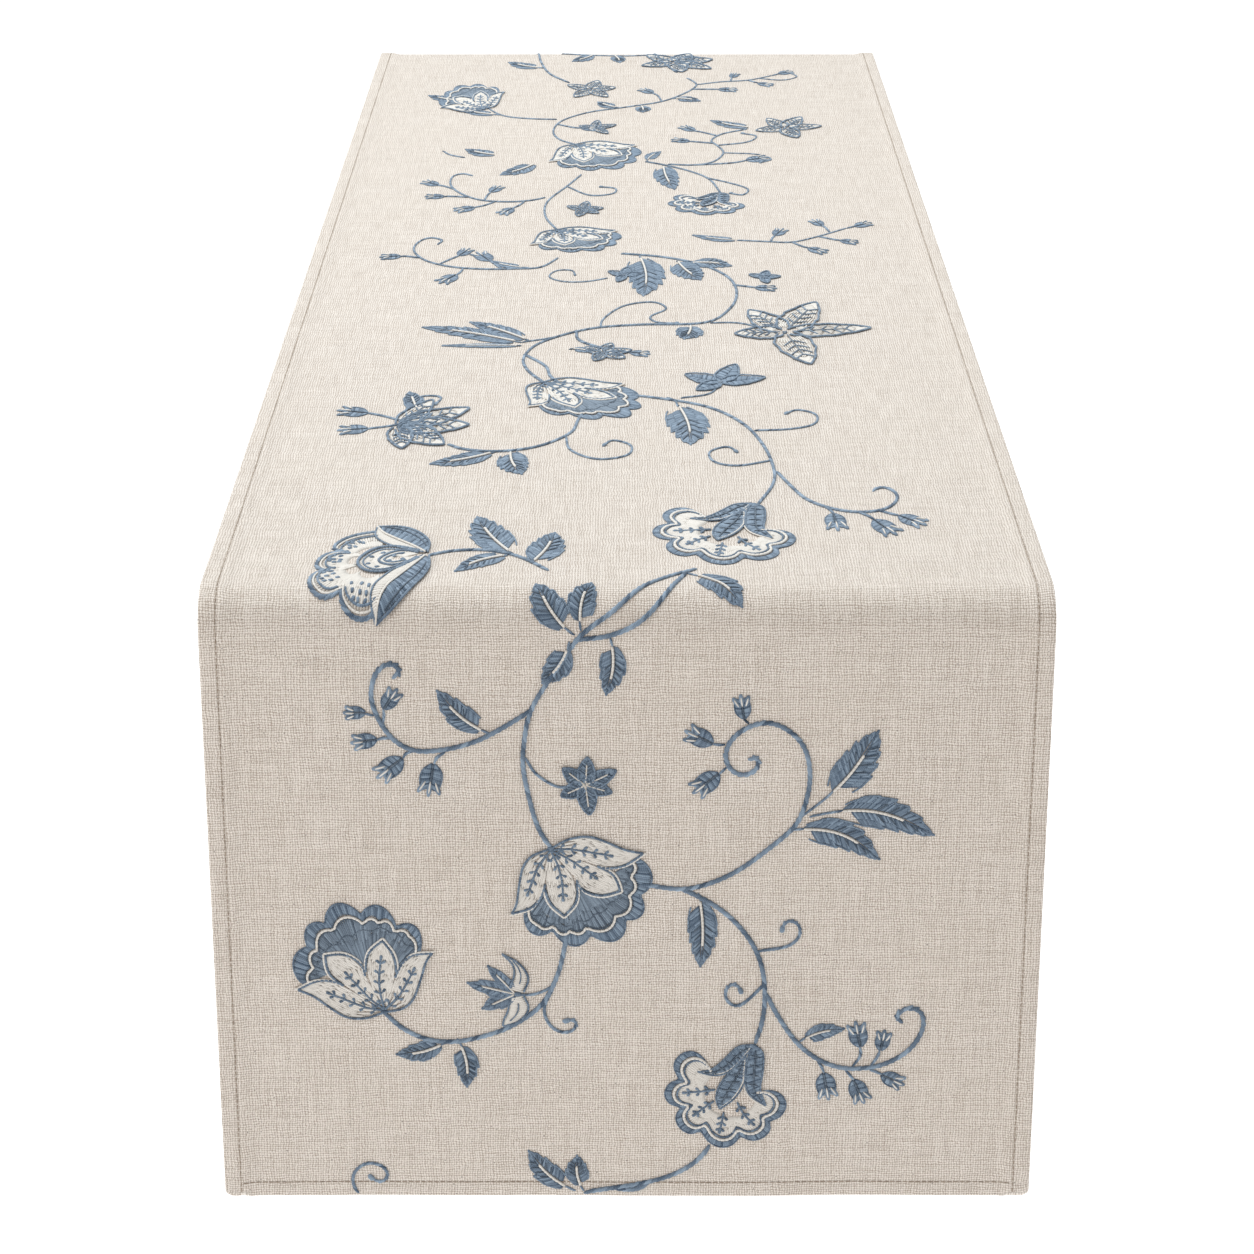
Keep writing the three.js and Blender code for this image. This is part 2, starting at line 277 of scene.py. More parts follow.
def faceLift(across, along):
    # the soft waves of the drops, the folded side hems and the dents of their seams
    ownEnd = np.minimum(along, clothLength - along)
    farSide = np.where(along > clothLength / 2, 1.3, 0.0)
    slack = 1 - eased(ownEnd, 20, dropLength + bendLength)
    wave = (
        0.50 * np.sin(across * 0.0262 + 0.9 + farSide * 2)
        + 0.33 * np.sin(across * 0.0475 - 0.8 + ownEnd * 0.004 + farSide)
        + 0.17 * np.sin(across * 0.083 + 2.0 - ownEnd * 0.011)
    )
    resting = 0.16 * (1 + np.sin(across * 0.031 + along * 0.0173) * np.sin(along * 0.0121 + 0.5))
    fromSide = lay["halfWidth"] - np.abs(across)
    lift = 2 * lay["plyStep"] * (1 - eased(fromSide, lay["hem"] - 1, lay["hem"] + lay["hemRamp"]))
    pucker = 0.10 * np.sin(along * 0.62 + across * 0.02) * np.exp(-((fromSide - 6) / 5) ** 2)
    sideSeam = np.exp(-((fromSide - lay["stitchInset"]) / 0.9) ** 2)
    endSeam = np.exp(-((ownEnd - lay["stitchInset"]) / 0.9) ** 2)
    seam = np.maximum(sideSeam, endSeam) * lay["dent"]
    return lay["waveHeight"] * slack * wave + resting * (1 - slack) + lift + pucker - seam


def clothPoint(across, along, height):
    across, along, height = np.broadcast_arrays(
        np.asarray(across, float), np.asarray(along, float), np.asarray(height, float),
    )
    rise = height + faceLift(across, along)
    ownEnd = np.minimum(along, clothLength - along)
    radius = lay["radius"]
    angle = np.clip((ownEnd - dropLength) / radius, 0, math.pi / 2)
    inPanel = np.maximum(ownEnd - dropLength - bendLength, 0)
    hanging = np.maximum(dropLength - ownEnd, 0)
    y = -(lay["halfTable"] - radius) - (radius + rise) * np.cos(angle) + inPanel
    z = lay["top"] - radius + (radius + rise) * np.sin(angle) - hanging
    y = np.where(along > clothLength / 2, -y, y)
    return np.stack([across, y, z], axis=-1) / 1000


# the linen, one sheet whose four edges are folded twice

sheetGrid = {"hemEnd": 16.5, "acrossSteps": 44, "bendSteps": 11, "dropSteps": 40, "panelSteps": 128}


def runningLength(path):
    return np.concatenate([[0], np.cumsum(np.linalg.norm(np.diff(path, axis=0), axis=1))])


def hemProfile():
    # from the raw edge inside the hem, round both folds and out over the face
    inner = [("inner", math.radians(a)) for a in (90, 45, 0, -45, -90)]
    outer = [("outer", math.radians(a)) for a in (-90, -120, -150, 180, 150, 120, 90)]
    face = [("face", q) for q in (3, 5, 6.6, 7.5, 8.3, 9.1, 10, 11.5, 13.5, sheetGrid["hemEnd"])]
    return [("middle", 3.6), ("middle", 6.5), *inner, ("under", 6.3), ("under", 3.2), *outer, *face]


def folded(zone, value, stack, depth):
    # where a point at this depth under the face comes to lie in a double fold of this ply stack
    foldAt = lay["hem"] - 1.0
    if zone == "middle":
        return value + 0 * depth, stack + depth
    if zone == "inner":
        return foldAt + (stack - depth) * math.cos(value), 2 * stack - (stack - depth) * math.sin(value)
    if zone == "under":
        return value + 0 * depth, 3 * stack - depth
    if zone == "outer":
        radius = 1.5 * stack - depth
        return 1.5 * stack + radius * math.cos(value), 1.5 * stack - radius * math.sin(value)
    return value + 0 * depth, depth


def buildLinen():
    profile = hemProfile()
    columns = [(*entry, -1) for entry in profile]
    panelStart = lay["halfWidth"] - sheetGrid["hemEnd"]
    columns += [
        ("panel", x, 0) for x in np.linspace(-panelStart, panelStart, sheetGrid["acrossSteps"])[1:-1]
    ]
    columns += [(*entry, 1) for entry in reversed(profile)]
    bendEnd = dropLength + bendLength
    bendRows = np.linspace(dropLength, bendEnd, sheetGrid["bendSteps"])
    dropRows = np.linspace(sheetGrid["hemEnd"], dropLength, sheetGrid["dropSteps"])[1:-1]
    panelRows = np.linspace(bendEnd, clothLength - dropLength - bendLength, sheetGrid["panelSteps"])[1:-1]
    near = [*dropRows, *bendRows]
    rows = [(*entry, -1) for entry in profile] + [("face", s, 0) for s in [
        *near, *panelRows, *[clothLength - s for s in reversed(near)],
    ]] + [(*entry, 1) for entry in reversed(profile)]

    half = lay["thickness"] / 2
    one = np.array([half])
    acrossPlace, acrossDepth = [], []
    for zone, value, side in columns:
        if side == 0:
            acrossPlace.append(value)
            acrossDepth.append(half)
            continue
        inward, depth = folded(zone, value, lay["plyStep"], one)
        acrossPlace.append(side * (lay["halfWidth"] - float(inward[0])))
        acrossDepth.append(float(depth[0]))
    acrossPlace, acrossDepth = np.array(acrossPlace), np.array(acrossDepth)
    fromSide = lay["halfWidth"] - np.abs(acrossPlace)
    stack = lay["plyStep"] * (3 - 2 * eased(fromSide, lay["hem"] - 0.4, lay["hem"] + 4))
    radius = lay["cornerRadius"]
    cornerIn = radius - np.sqrt(np.maximum(radius ** 2 - np.maximum(radius - fromSide, 0) ** 2, 0))

    points = np.zeros((len(rows), len(columns), 3))
    for j, (zone, value, side) in enumerate(rows):
        if side == 0:
            points[j] = clothPoint(acrossPlace, value, -acrossDepth)
            continue
        inward, depth = folded(zone, value, stack, acrossDepth)
        inward = inward + cornerIn * np.clip(1 - inward / 14, 0, 1)
        along = inward if side < 0 else clothLength - inward
        points[j] = clothPoint(acrossPlace, along, -depth)

    bpy.ops.object.select_all(action="DESELECT")
    bpy.ops.mesh.primitive_grid_add(x_subdivisions=len(columns) - 1, y_subdivisions=len(rows) - 1, size=2)
    sheet = bpy.context.object
    sheet.name = "linen_runner"
    mesh = sheet.data
    flat = np.empty(len(mesh.vertices) * 3)
    mesh.vertices.foreach_get("co", flat)
    flat = flat.reshape(-1, 3)
    i = np.rint((flat[:, 0] + 1) / 2 * (len(columns) - 1)).astype(int)
    j = np.rint((flat[:, 1] + 1) / 2 * (len(rows) - 1)).astype(int)
    mesh.vertices.foreach_set("co", points[j, i].ravel())
    # how far each column and row lies along the cloth itself, for the weave and the cut size
    acrossCloth = runningLength(points[len(rows) // 2])
    alongCloth = runningLength(points[:, len(columns) // 2])
    corner = np.empty(len(mesh.loops), np.int32)
    mesh.loops.foreach_get("vertex_index", corner)
    weave = mesh.uv_layers[0]
    weave.name = "weave"
    weave.data.foreach_set("uv", np.stack([acrossCloth[i[corner]], alongCloth[j[corner]]], axis=-1).ravel())
    thick = sheet.modifiers.new("ply", "SOLIDIFY")
    thick.thickness = lay["thickness"] / 1000
    thick.offset = 0
    bpy.ops.object.modifier_apply(modifier="ply")
    bpy.ops.object.shade_smooth()
    print("stage: linen", len(mesh.polygons), "faces", float(acrossCloth[-1]), float(alongCloth[-1]))
    return sheet, float(acrossCloth[-1]), float(alongCloth[-1])


linenSheet, cutWidth, cutLength = buildLinen()
linenSheet.data.materials.append(linen)
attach(linenSheet, "root")
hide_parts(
    "ground_cloth",
    "left_hem_turning", "right_hem_turning", "front_hem_turning", "back_hem_turning",
)


# one stitch, copied for every stitch of the embroidery and the hems

def modelStitch():
    bpy.ops.object.select_all(action="DESELECT")
    bpy.ops.mesh.primitive_cylinder_add(vertices=6, radius=1, depth=1, location=(0, 0, 0))
    stitch = bpy.context.object
    bpy.ops.object.mode_set(mode="EDIT")
    for cut in (-0.26, 0.26):
        bpy.ops.mesh.select_all(action="SELECT")
        bpy.ops.mesh.bisect(plane_co=(0, 0, cut), plane_no=(0, 0, 1))
    bpy.ops.object.mode_set(mode="OBJECT")
    mesh = stitch.data
    places = np.array([vertex.co[:] for vertex in mesh.vertices])
    ends = np.abs(places[:, 2]) > 0.4
    places[ends, :2] *= 0.52
    faces = [list(face.vertices) for face in mesh.polygons]
    bpy.data.objects.remove(stitch)
    share = places[:, 2] + 0.5
    return share, places[:, 0], places[:, 1], faces


stitchShare, stitchSide, stitchUp, stitchFaces = modelStitch()
needlework = {}  # rows of stitches for each piece: start, end, width, height, base, tone, thread
pattern = {"stretch": 1.0, "topStretch": 1.42}  # what lies on the table's top is drawn longer by topStretch


def stretchFor(name):
    pattern["stretch"] = pattern["topStretch"] if name.startswith(("top", "far")) else 1.0


def squash(points):
    return np.asarray(points, float) / np.array([1.0, pattern["stretch"]])


def sew(piece, starts, ends, width, thread, height=None, base=0.1, tone=0.5, toneSpread=0.3):
    starts = np.atleast_2d(np.asarray(starts, float))
    ends = np.atleast_2d(np.asarray(ends, float))
    count = len(starts)
    if count == 0:
        return
    run = ends - starts
    level = np.abs(run[:, 0]) / np.maximum(np.linalg.norm(run, axis=1), 1e-6)
    stretch = pattern["stretch"]
    width = np.asarray(width, float) * (1 + (stretch - 1) * level ** 2)
    starts, ends = starts * (1, stretch), ends * (1, stretch)
    columns = [starts, ends]
    height = np.minimum(width * 0.62, 1.3) if height is None else height
    # threads on the table's top are painted lighter: painted light, standing in for the brighter light that
    # falls on the top
    paintedTopLight = 0.16 * eased(starts[:, 1], dropLength, dropLength + 60)
    tones = np.clip(np.asarray(tone) + paintedTopLight + (dice.random(count) - 0.5) * 2 * toneSpread, 0, 1)
    for value in (width, height, base, tones, threadOrder.index(thread)):
        columns.append(np.broadcast_to(np.asarray(value, float).reshape(-1, 1), (count, 1)))
    needlework.setdefault(piece, []).append(np.hstack(columns))


def buildNeedlework(name):
    rows = np.concatenate(needlework[name])
    start, end = rows[:, None, 0:2], rows[:, None, 2:4]
    width, height, base, tone, thread = (rows[:, k, None] for k in range(4, 9))
    run = end - start
    length = np.maximum(np.linalg.norm(run, axis=2), 1e-6)
    side = np.stack([-run[..., 1], run[..., 0]], axis=-1) / length[..., None]
    arch = np.sin(np.pi * stitchShare)[None, :]
    offset = stitchSide * width / 2
    places = start + run * stitchShare[None, :, None] + side * offset[..., None]
    lift = base + stitchUp * height / 2 + arch * height * 0.28 - (1 - arch) * height * 0.15
    points = clothPoint(places[..., 0], places[..., 1], lift).reshape(-1, 3)

    perStitch, count = len(stitchShare), len(rows)
    sizes = np.array([len(face) for face in stitchFaces])
    loops = np.concatenate([np.array(face) for face in stitchFaces])
    allLoops = (loops[None, :] + perStitch * np.arange(count)[:, None]).ravel()
    allSizes = np.tile(sizes, count)
    mesh = bpy.data.meshes.new(name)
    mesh.vertices.add(len(points))
    mesh.vertices.foreach_set("co", points.ravel())
    mesh.loops.add(len(allLoops))
    mesh.loops.foreach_set("vertex_index", allLoops)
    mesh.polygons.add(len(allSizes))
    mesh.polygons.foreach_set("loop_start", np.concatenate([[0], np.cumsum(allSizes)[:-1]]))
    mesh.polygons.foreach_set("loop_total", allSizes)
    used = sorted(set(thread.ravel().astype(int)))
    for number in used:
        mesh.materials.append(threads[threadOrder[number]])
    wears = np.searchsorted(used, thread.ravel().astype(int))
    mesh.polygons.foreach_set("material_index", np.repeat(wears, len(sizes)))
    toneLayer = mesh.attributes.new("tone", "FLOAT", "POINT")
    toneLayer.data.foreach_set("value", np.repeat(tone.ravel(), perStitch))

    around = np.arctan2(stitchUp, stitchSide) / (2 * math.pi)
    alongThread = (stitchShare[None, :] * length).astype(float)
    strand = np.stack([alongThread, np.broadcast_to(around, alongThread.shape)], axis=-1)
    local = np.arange(count)[:, None]
    pick = np.tile(loops, (count, 1))
    strandUv = strand[local, pick]
    # the seam of each thread: faces that cross it count on past the full turn
    faceStart = np.concatenate([[0], np.cumsum(sizes)[:-1]])
    turnFix = np.zeros(len(loops))
    for first, size in zip(faceStart, sizes):
        turns = around[loops[first:first + size]]
        if turns.max() - turns.min() > 0.5 and size == 4:
            turnFix[first:first + size] = np.where(turns < 0, 1.0, 0.0)
    strandUv[..., 1] += turnFix
    mesh.uv_layers.new(name="strand").data.foreach_set("uv", strandUv.ravel())
    # one small cell of the bake map for each stitch
    grid = math.ceil(math.sqrt(count))
    cell = np.stack([np.arange(count) % grid, np.arange(count) // grid], axis=-1)[:, None, :]
    inCell = np.stack([stitchShare[loops], (around[loops] + turnFix + 0.5) / 1.2], axis=-1)
    capLoops = np.repeat(sizes != 4, sizes)
    inCell[capLoops, 0] = 0.02 + 0.1 * np.abs(stitchSide[loops][capLoops])
    inCell[:, 1] = np.clip(inCell[:, 1], 0, 1)
    baked = (cell + 0.08 + 0.84 * inCell[None, :, :]) / grid
    mesh.uv_layers.new(name="OFBake").data.foreach_set("uv", baked.ravel())
    mesh.update(calc_edges=True)
    mesh.validate()
    piece = bpy.data.objects.new(name, mesh)
    bpy.context.scene.collection.objects.link(piece)
    mesh.polygons.foreach_set("use_smooth", np.ones(len(mesh.polygons), bool))
    return piece


# paths on the cloth

def smooth(points):
    points = np.array(points, float)
    points = np.vstack([2 * points[0] - points[1], points, 2 * points[-1] - points[-2]])
    t = np.linspace(0, 1, 14, endpoint=False)[:, None]
    parts = []
    for a, b, c, d in zip(points, points[1:], points[2:], points[3:]):
        parts.append(0.5 * (
            2 * b + (c - a) * t + (2 * a - 5 * b + 4 * c - d) * t ** 2 + (3 * b - a - 3 * c + d) * t ** 3
        ))
    return evenly(np.vstack([*parts, points[-2]]), 0.5)


def lengthOf(path):
    return float(np.linalg.norm(np.diff(path, axis=0), axis=1).sum())


def at(path, distance):
    reach = runningLength(path)
    return np.stack([np.interp(distance, reach, path[:, k]) for k in (0, 1)], axis=-1)


def evenly(path, step=None, count=None):
    total = lengthOf(path)
    count = max(2, round(total / step) + 1) if count is None else count
    return at(path, np.linspace(0, total, count))


def sideways(path):
    run = np.gradient(path, axis=0)
    run /= np.maximum(np.linalg.norm(run, axis=1, keepdims=True), 1e-9)
    return np.stack([-run[:, 1], run[:, 0]], axis=-1)


def placing(origin, scale=(1, 1), turn=0.0, shear=0.0):
    cosine, sine = math.cos(math.radians(turn)), math.sin(math.radians(turn))

    def toCloth(points):
        points = np.atleast_2d(np.array(points, float))
        turned = np.stack([
            points[:, 0] * cosine - points[:, 1] * (sine + shear),
            points[:, 0] * sine + points[:, 1] * cosine,
        ], axis=-1)
        return squash(turned * np.array(scale) + np.array(origin))

    return toCloth


# the kinds of stitch

def rope(piece, path, width=2.5, thread="blue_thread", tone=0.5, spread=0.4, base=0.25):
    # stem stitch: slanting stitches that overlap by half
    total = lengthOf(path)
    stitch = max(2.4, width * 2.1)
    count = max(1, round(total / (stitch * 0.5)))
    begin = np.linspace(0, max(total - stitch, 0), count)
    a, b = at(path, begin), at(path, np.minimum(begin + stitch, total))
    run = b - a
    side = (
        np.stack([-run[:, 1], run[:, 0]], axis=-1)
        / np.maximum(np.linalg.norm(run, axis=1), 1e-6)[:, None]
    )
    lean = side * width * 0.2
    tones = np.full(count, tone, float)
    tones[::4] -= 0.3
    sew(piece, a - lean, b + lean, width * 0.64, thread, base=base, tone=tones, toneSpread=spread)


def line(piece, path, width=1.1, thread="blue_thread", tone=0.4, spread=0.25, base=0.35):
    # back stitch along an outline
    total = lengthOf(path)
    count = max(1, round(total / 2.1))
    begin = np.linspace(0, total * (1 - 1 / count), count)
    a = at(path, np.maximum(begin - 0.35, 0))
    b = at(path, np.minimum(begin + total / count + 0.35, total))
    sew(piece, a, b, width, thread, base=base, tone=tone, toneSpread=spread, height=width * 0.75)


def satin(piece, pathA, pathB, spacing=1.15, thread="blue_thread", tone=0.5, slant=0.0, split=9.0,
          width=1.25, spread=0.34, vein=0, base=0.15):
    longest = max(lengthOf(pathA), lengthOf(pathB))
    count = max(2, round(longest / spacing))
    share = np.linspace(0.01, 0.99, count)
    a = at(pathA, share * lengthOf(pathA))
    b = at(pathB, np.clip(share + slant, 0, 1) * lengthOf(pathB))
    tones = np.full(count, tone, float)
    if vein:
        tones[::vein] -= 0.45
    span = np.linalg.norm(b - a, axis=1)
    keep = span > 0.5
    a, b, tones, span = a[keep], b[keep], tones[keep], span[keep]
    pieces = np.maximum(1, np.ceil(span / split)).astype(int)
    for number in range(1, pieces.max(initial=1) + 1):
        rows = pieces == number
        for part in range(number):
            shift = 0.22 / number * (dice.random(rows.sum()) - 0.5)
            low = (part / number + (shift if part else 0))[:, None] if part else np.zeros((rows.sum(), 1))
            high = ((part + 1) / number + 0.10 / number * (part + 1 < number))
            low = low - (0.06 if part else 0)
            run = b[rows] - a[rows]
            sew(piece, a[rows] + run * low, a[rows] + run * high, width, thread,
                tone=tones[rows], toneSpread=spread, base=base, height=0.75)


def dots(piece, centres, size=1.4, thread="blue_thread", tone=0.4, direction=(0, 1)):
    centres = np.atleast_2d(np.asarray(centres, float))
    direction = np.broadcast_to(np.asarray(direction, float), centres.shape)
    half = direction / np.linalg.norm(direction, axis=1, keepdims=True) * size * 0.75
    sew(piece, centres - half, centres + half, size, thread, height=size * 0.7, tone=tone, base=0.4)


def sprig(piece, points, pairs, reach):
    # a vein with pairs of short side stitches, a knot at the end of each
    knot = 1.55
    path = smooth(points)
    total = lengthOf(path)
    line(piece, path, 1.25, "blue_thread", 0.3, 0.15, base=0.45)
    normals = sideways(path)
    for k in range(pairs):
        share = (k + 0.6) / (pairs + 0.3)
        where = at(path, share * total)
        index = min(int(share * (len(path) - 1)), len(path) - 1)
        normal = normals[index]
        forward = np.array([normal[1], -normal[0]])
        size = reach * (1.12 - 0.35 * share)
        for sideSign in (1, -1):
            tip = where + normal * size * sideSign * 0.85 + forward * size * 0.75
            twig = where + (tip - where) * 0.8
            sew(piece, where, twig, 0.95, "blue_thread", base=0.45, tone=0.28, toneSpread=0.15)
            dots(piece, [tip], knot, "blue_thread", 0.3, tip - where)
    dots(piece, [path[-1]], knot * 1.1, "blue_thread", 0.35, path[-1] - path[-3])


def tendril(piece, points, width):
    path = smooth(squash(points))
    rope(piece, path, width)
    dots(piece, [path[-1]], width * 1.15, "blue_thread", 0.5, path[-1] - path[-2])


budShape = {"body": 0.70, "width": 0.29, "leastWidth": 2.3, "stalk": 2.0}


def bud(piece, stalk, tip):
    # a short stalk, two rounded halves and a crown of small lobes
    stalk, tip = squash(stalk), squash(tip)
    base = stalk[-1]
    axis = tip - base
    reach = np.linalg.norm(axis)
    forward = axis / reach
    normal = np.array([-forward[1], forward[0]])
    rope(piece, smooth(stalk), budShape["stalk"])
    body = reach * budShape["body"]
    wide = max(budShape["leastWidth"], reach * budShape["width"])
    for sideSign in (1, -1):
        middle = np.array([base + forward * body * t for t in np.linspace(0, 1, 8)])
        swell = np.array([0.10, 0.62, 0.9, 1.0, 1.02, 0.98, 0.88, 0.74]) * wide
        edge = middle + normal * sideSign * swell[:, None] + forward * np.linspace(-0.2, 1.4, 8)[:, None]
        seam = evenly(middle + normal * sideSign * 0.2, 0.5)
        satin(piece, seam, smooth(edge), 1.05, tone=0.55, slant=0.08, vein=3)
        line(piece, smooth(edge), 0.8, "blue_thread", 0.18, base=0.25)
    line(piece, np.array([base, base + forward * body * 0.75]), 0.75, "deep_blue_thread", 0.2, base=0.6)
    for angle, long in ((-0.42, 0.36), (0.42, 0.36), (0.0, 0.42)):
        turned = forward * math.cos(angle) + normal * math.sin(angle)
        root = base + forward * body * 0.78 + normal * math.sin(angle) * wide * 1.25
        lobe = root + turned * reach * long
        sew(piece, [root], [lobe], 2.5, "blue_thread", tone=0.5, base=0.35, height=0.9)
        shine = root + turned * reach * long * 0.72
        sew(piece, [root - turned * 0.6], [shine], 0.85, "pale_thread", tone=0.8, base=1.0, height=0.6)


leafShape = {
    "steps": 120, "toothDepth": 0.32, "toothLean": 0.16, "edge": 0.95, "rib": 1.35, "thinRib": 0.85,
    "veins": (0.40, 0.52, 0.64, 0.76), "veinReach": 0.24,
}


def leaf(piece, foot, tip, width, sag, teeth, stalk=0.0):
    # toothed leaf: satin from the middle out to both edges, an outline, a pale rib and dark veins
    foot, tip = squash(foot), squash(tip)
    axis = tip - foot
    reach = np.linalg.norm(axis)
    forward = axis / reach
    normal = np.array([-forward[1], forward[0]])
    steps = leafShape["steps"]
    share = np.linspace(0, 1, steps + 1)
    middle = foot + axis * share[:, None] + normal * (sag * reach * np.sin(np.pi * share))[:, None]
    blade = np.clip((share - stalk) / (1 - stalk), 0, 1)
    swell = 2.62 * blade ** 0.58 * (1 - blade) ** 0.86
    for sideSign, start in ((1, stalk + 0.03), (-1, stalk + 0.10)):
        tooth = (blade * teeth + (0.45 if sideSign < 0 else 0)) % 1.0
        saw = 1 - leafShape["toothDepth"] * (1 - tooth) * np.clip(blade * 3 - 0.7, 0, 1)
        edge = middle + normal * (sideSign * width / 2 * swell * saw)[:, None]
        edge = edge + forward * (leafShape["toothLean"] * width * swell * (0.4 + tooth))[:, None]
        first = int(start * steps)
        rim = evenly(edge[first:119], 0.4)
        gap = normal * sideSign * min(0.75, width * 0.055)
        satin(piece, evenly(middle[first:116] + gap, 0.5), rim, 1.1, slant=0.10, vein=3, split=8.5)
        line(piece, rim, leafShape["edge"], "blue_thread", 0.42, 0.2, base=0.3)
    if stalk:
        rope(piece, evenly(middle[:int(stalk * steps) + 6], 0.5), 1.7)
    rib = middle[int((stalk + 0.04) * steps):int((0.72 + stalk * 0.2) * steps)]
    ribWidth = leafShape["rib"] if width > 9 else leafShape["thinRib"]
    line(piece, evenly(rib, 0.5), ribWidth, "pale_thread", 0.8, 0.12, base=0.6)
    line(piece, evenly(middle[int(0.74 * steps):118], 0.5), 0.8, "blue_thread", 0.15, base=0.5)
    for part in leafShape["veins"] if width > 10 else ():
        for sideSign in (1, -1):
            index = int((stalk + (1 - stalk) * part) * steps)
            root = middle[index] + normal * sideSign * 0.9
            out = width * leafShape["veinReach"]
            end = root + normal * sideSign * out * swell[index] + forward * out
            sew(piece, [root], [end], 0.75, "deep_blue_thread", tone=0.1, toneSpread=0.1, base=0.75,
                height=0.5)
    sew(piece, [middle[114]], [middle[120] + forward * 1.2], 1.6, "blue_thread", tone=0.35)


def fan(piece, centre, inner, outer, spacing=1.1, rows=1, thread="blue_thread", tone=0.5, width=1.22,
        spread=0.34, vein=0):
    # rays of stitches from one curve out to another, both round the same middle
    centre = np.array(centre, float)
    outer = evenly(outer, spacing)
    away = outer - centre
    angle = np.unwrap(np.arctan2(away[:, 1], away[:, 0]))
    innerAway = evenly(inner, 0.6) - centre
    innerAngle = np.unwrap(np.arctan2(innerAway[:, 1], innerAway[:, 0]))
    turn = 2 * math.pi * np.round((angle.mean() - innerAngle.mean()) / (2 * math.pi))
    order = np.argsort(innerAngle)
    innerReach = np.interp(angle, (innerAngle + turn)[order], np.linalg.norm(innerAway, axis=1)[order])
    reach = np.linalg.norm(away, axis=1)
    ray = away / reach[:, None]
    tones = np.full(len(angle), tone, float)
    if vein:
        tones[::vein] -= 0.35
    keep = reach - innerReach > 0.8
    for part in range(rows):
        jitter = (dice.random(len(angle)) - 0.5) * 0.5 / rows if part else np.zeros(len(angle))
        low = innerReach + (reach - innerReach) * np.clip(
            part / rows + jitter - (0.06 if part else 0), 0, 1,
        )
        high = innerReach + (reach - innerReach) * min(1, (part + 1.12) / rows)
        sew(piece, (centre + ray * low[:, None])[keep], (centre + ray * high[:, None])[keep], width, thread,
            tone=tones[keep], toneSpread=spread, base=0.15, height=0.8)


def scallops(cusps, bulges, centre):
    # arcs from each cusp to the next, bulging away from the centre
    roundness = 0.62
    centre = np.array(centre, float)
    parts = []
    t = np.linspace(0, 1, 22)[:, None]
    for a, b, bulge in zip(cusps, cusps[1:], bulges):
        a, b = np.array(a, float), np.array(b, float)
        out = (a + b) / 2 - centre
        out /= np.linalg.norm(out)
        parts.append(a + (b - a) * t + out * bulge * np.sin(np.pi * t) ** roundness)
    return np.vstack(parts)


def towards(path, centre, amount):
    away = path - centre
    reach = np.linalg.norm(away, axis=1, keepdims=True)
    return path - away / reach * amount


# the motifs

pomegranateDrawing = {
    # each petal: left side, right side, where each side starts to show, the sprig in it
    "petals": [
        ([(0, 0), (-9, -3.5), (-13.5, -9), (-15.5, -18), (-17, -28), (-19.5, -32.5)],
         [(0, 0), (-1.5, -9), (-3, -18.5), (-8, -28.5), (-19.5, -32.5)], 0.0, 0.44,
         [(0, -1), (-6, -9), (-9, -16), (-11.5, -23)]),
        ([(0, 0), (-1.5, -9), (-3, -18.5), (-0.5, -27), (6.4, -33.5)],
         [(0, 0), (6, -8), (11.4, -15), (13, -21), (12, -27), (6.4, -33.5)], 0.55, 0.54,
         [(0, -1), (3.6, -9), (5.4, -17), (5.8, -25.5)]),
        ([(0, 0), (6, -8), (11.8, -14.5), (15.3, -20.5), (24, -23.3), (33.6, -21)],
         [(0, 0), (12, -5), (22.5, -8.7), (29.5, -12), (32.5, -17), (33.6, -21)], 0.46, 0.58,
         [(0, -1), (7.5, -4.5), (15, -9.5), (22, -14.5)]),
        ([(0, 0), (12, -5), (22.5, -8.7), (29, -9.6), (36.4, -8), (45, -2.2)],
         [(0, 0), (8.6, 4.6), (18.6, 6), (28, 2.9), (36.4, -0.6), (45, -2.2)], 0.50, 0.0,
         [(1, -0.6), (10, -0.4), (20, -2), (29.5, -3.6)]),
    ],
    "lineCusps": [(-11, -31), (-6.6, -37.4), (1.2, -38.2), (9.4, -40.6), (17, -39), (31, -33.2),
        (37.6, -22.6), (38.2, -13.6), (39.5, -6.5)],
    "lineBulges": [2.0, 2.6, 3.6, 3.0, 5.4, 4.6, 3.6, 2.4],
    "ringCusps": [(-13.2, -32), (0.6, -40.8), (19, -43), (36, -35.4), (43, -23), (43.6, -5.5)],
    "ringBulges": [7.2, 7.4, 8.4, 6.4, 6.4],
    "scaleCusps": [(-12, -29), (-4.6, -33), (4, -37.4), (12.5, -35.6), (21, -32), (27.5, -27), (34, -19),
        (36, -10)],
    "petalEdge": [(-16, -30), (-8, -28), (-3, -20), (2, -29), (6.4, -33), (11.5, -27), (13, -18),
        (20, -22.5), (33, -21), (31, -12), (37, -8), (42, -4)],
    "middle": (7, -9),
}


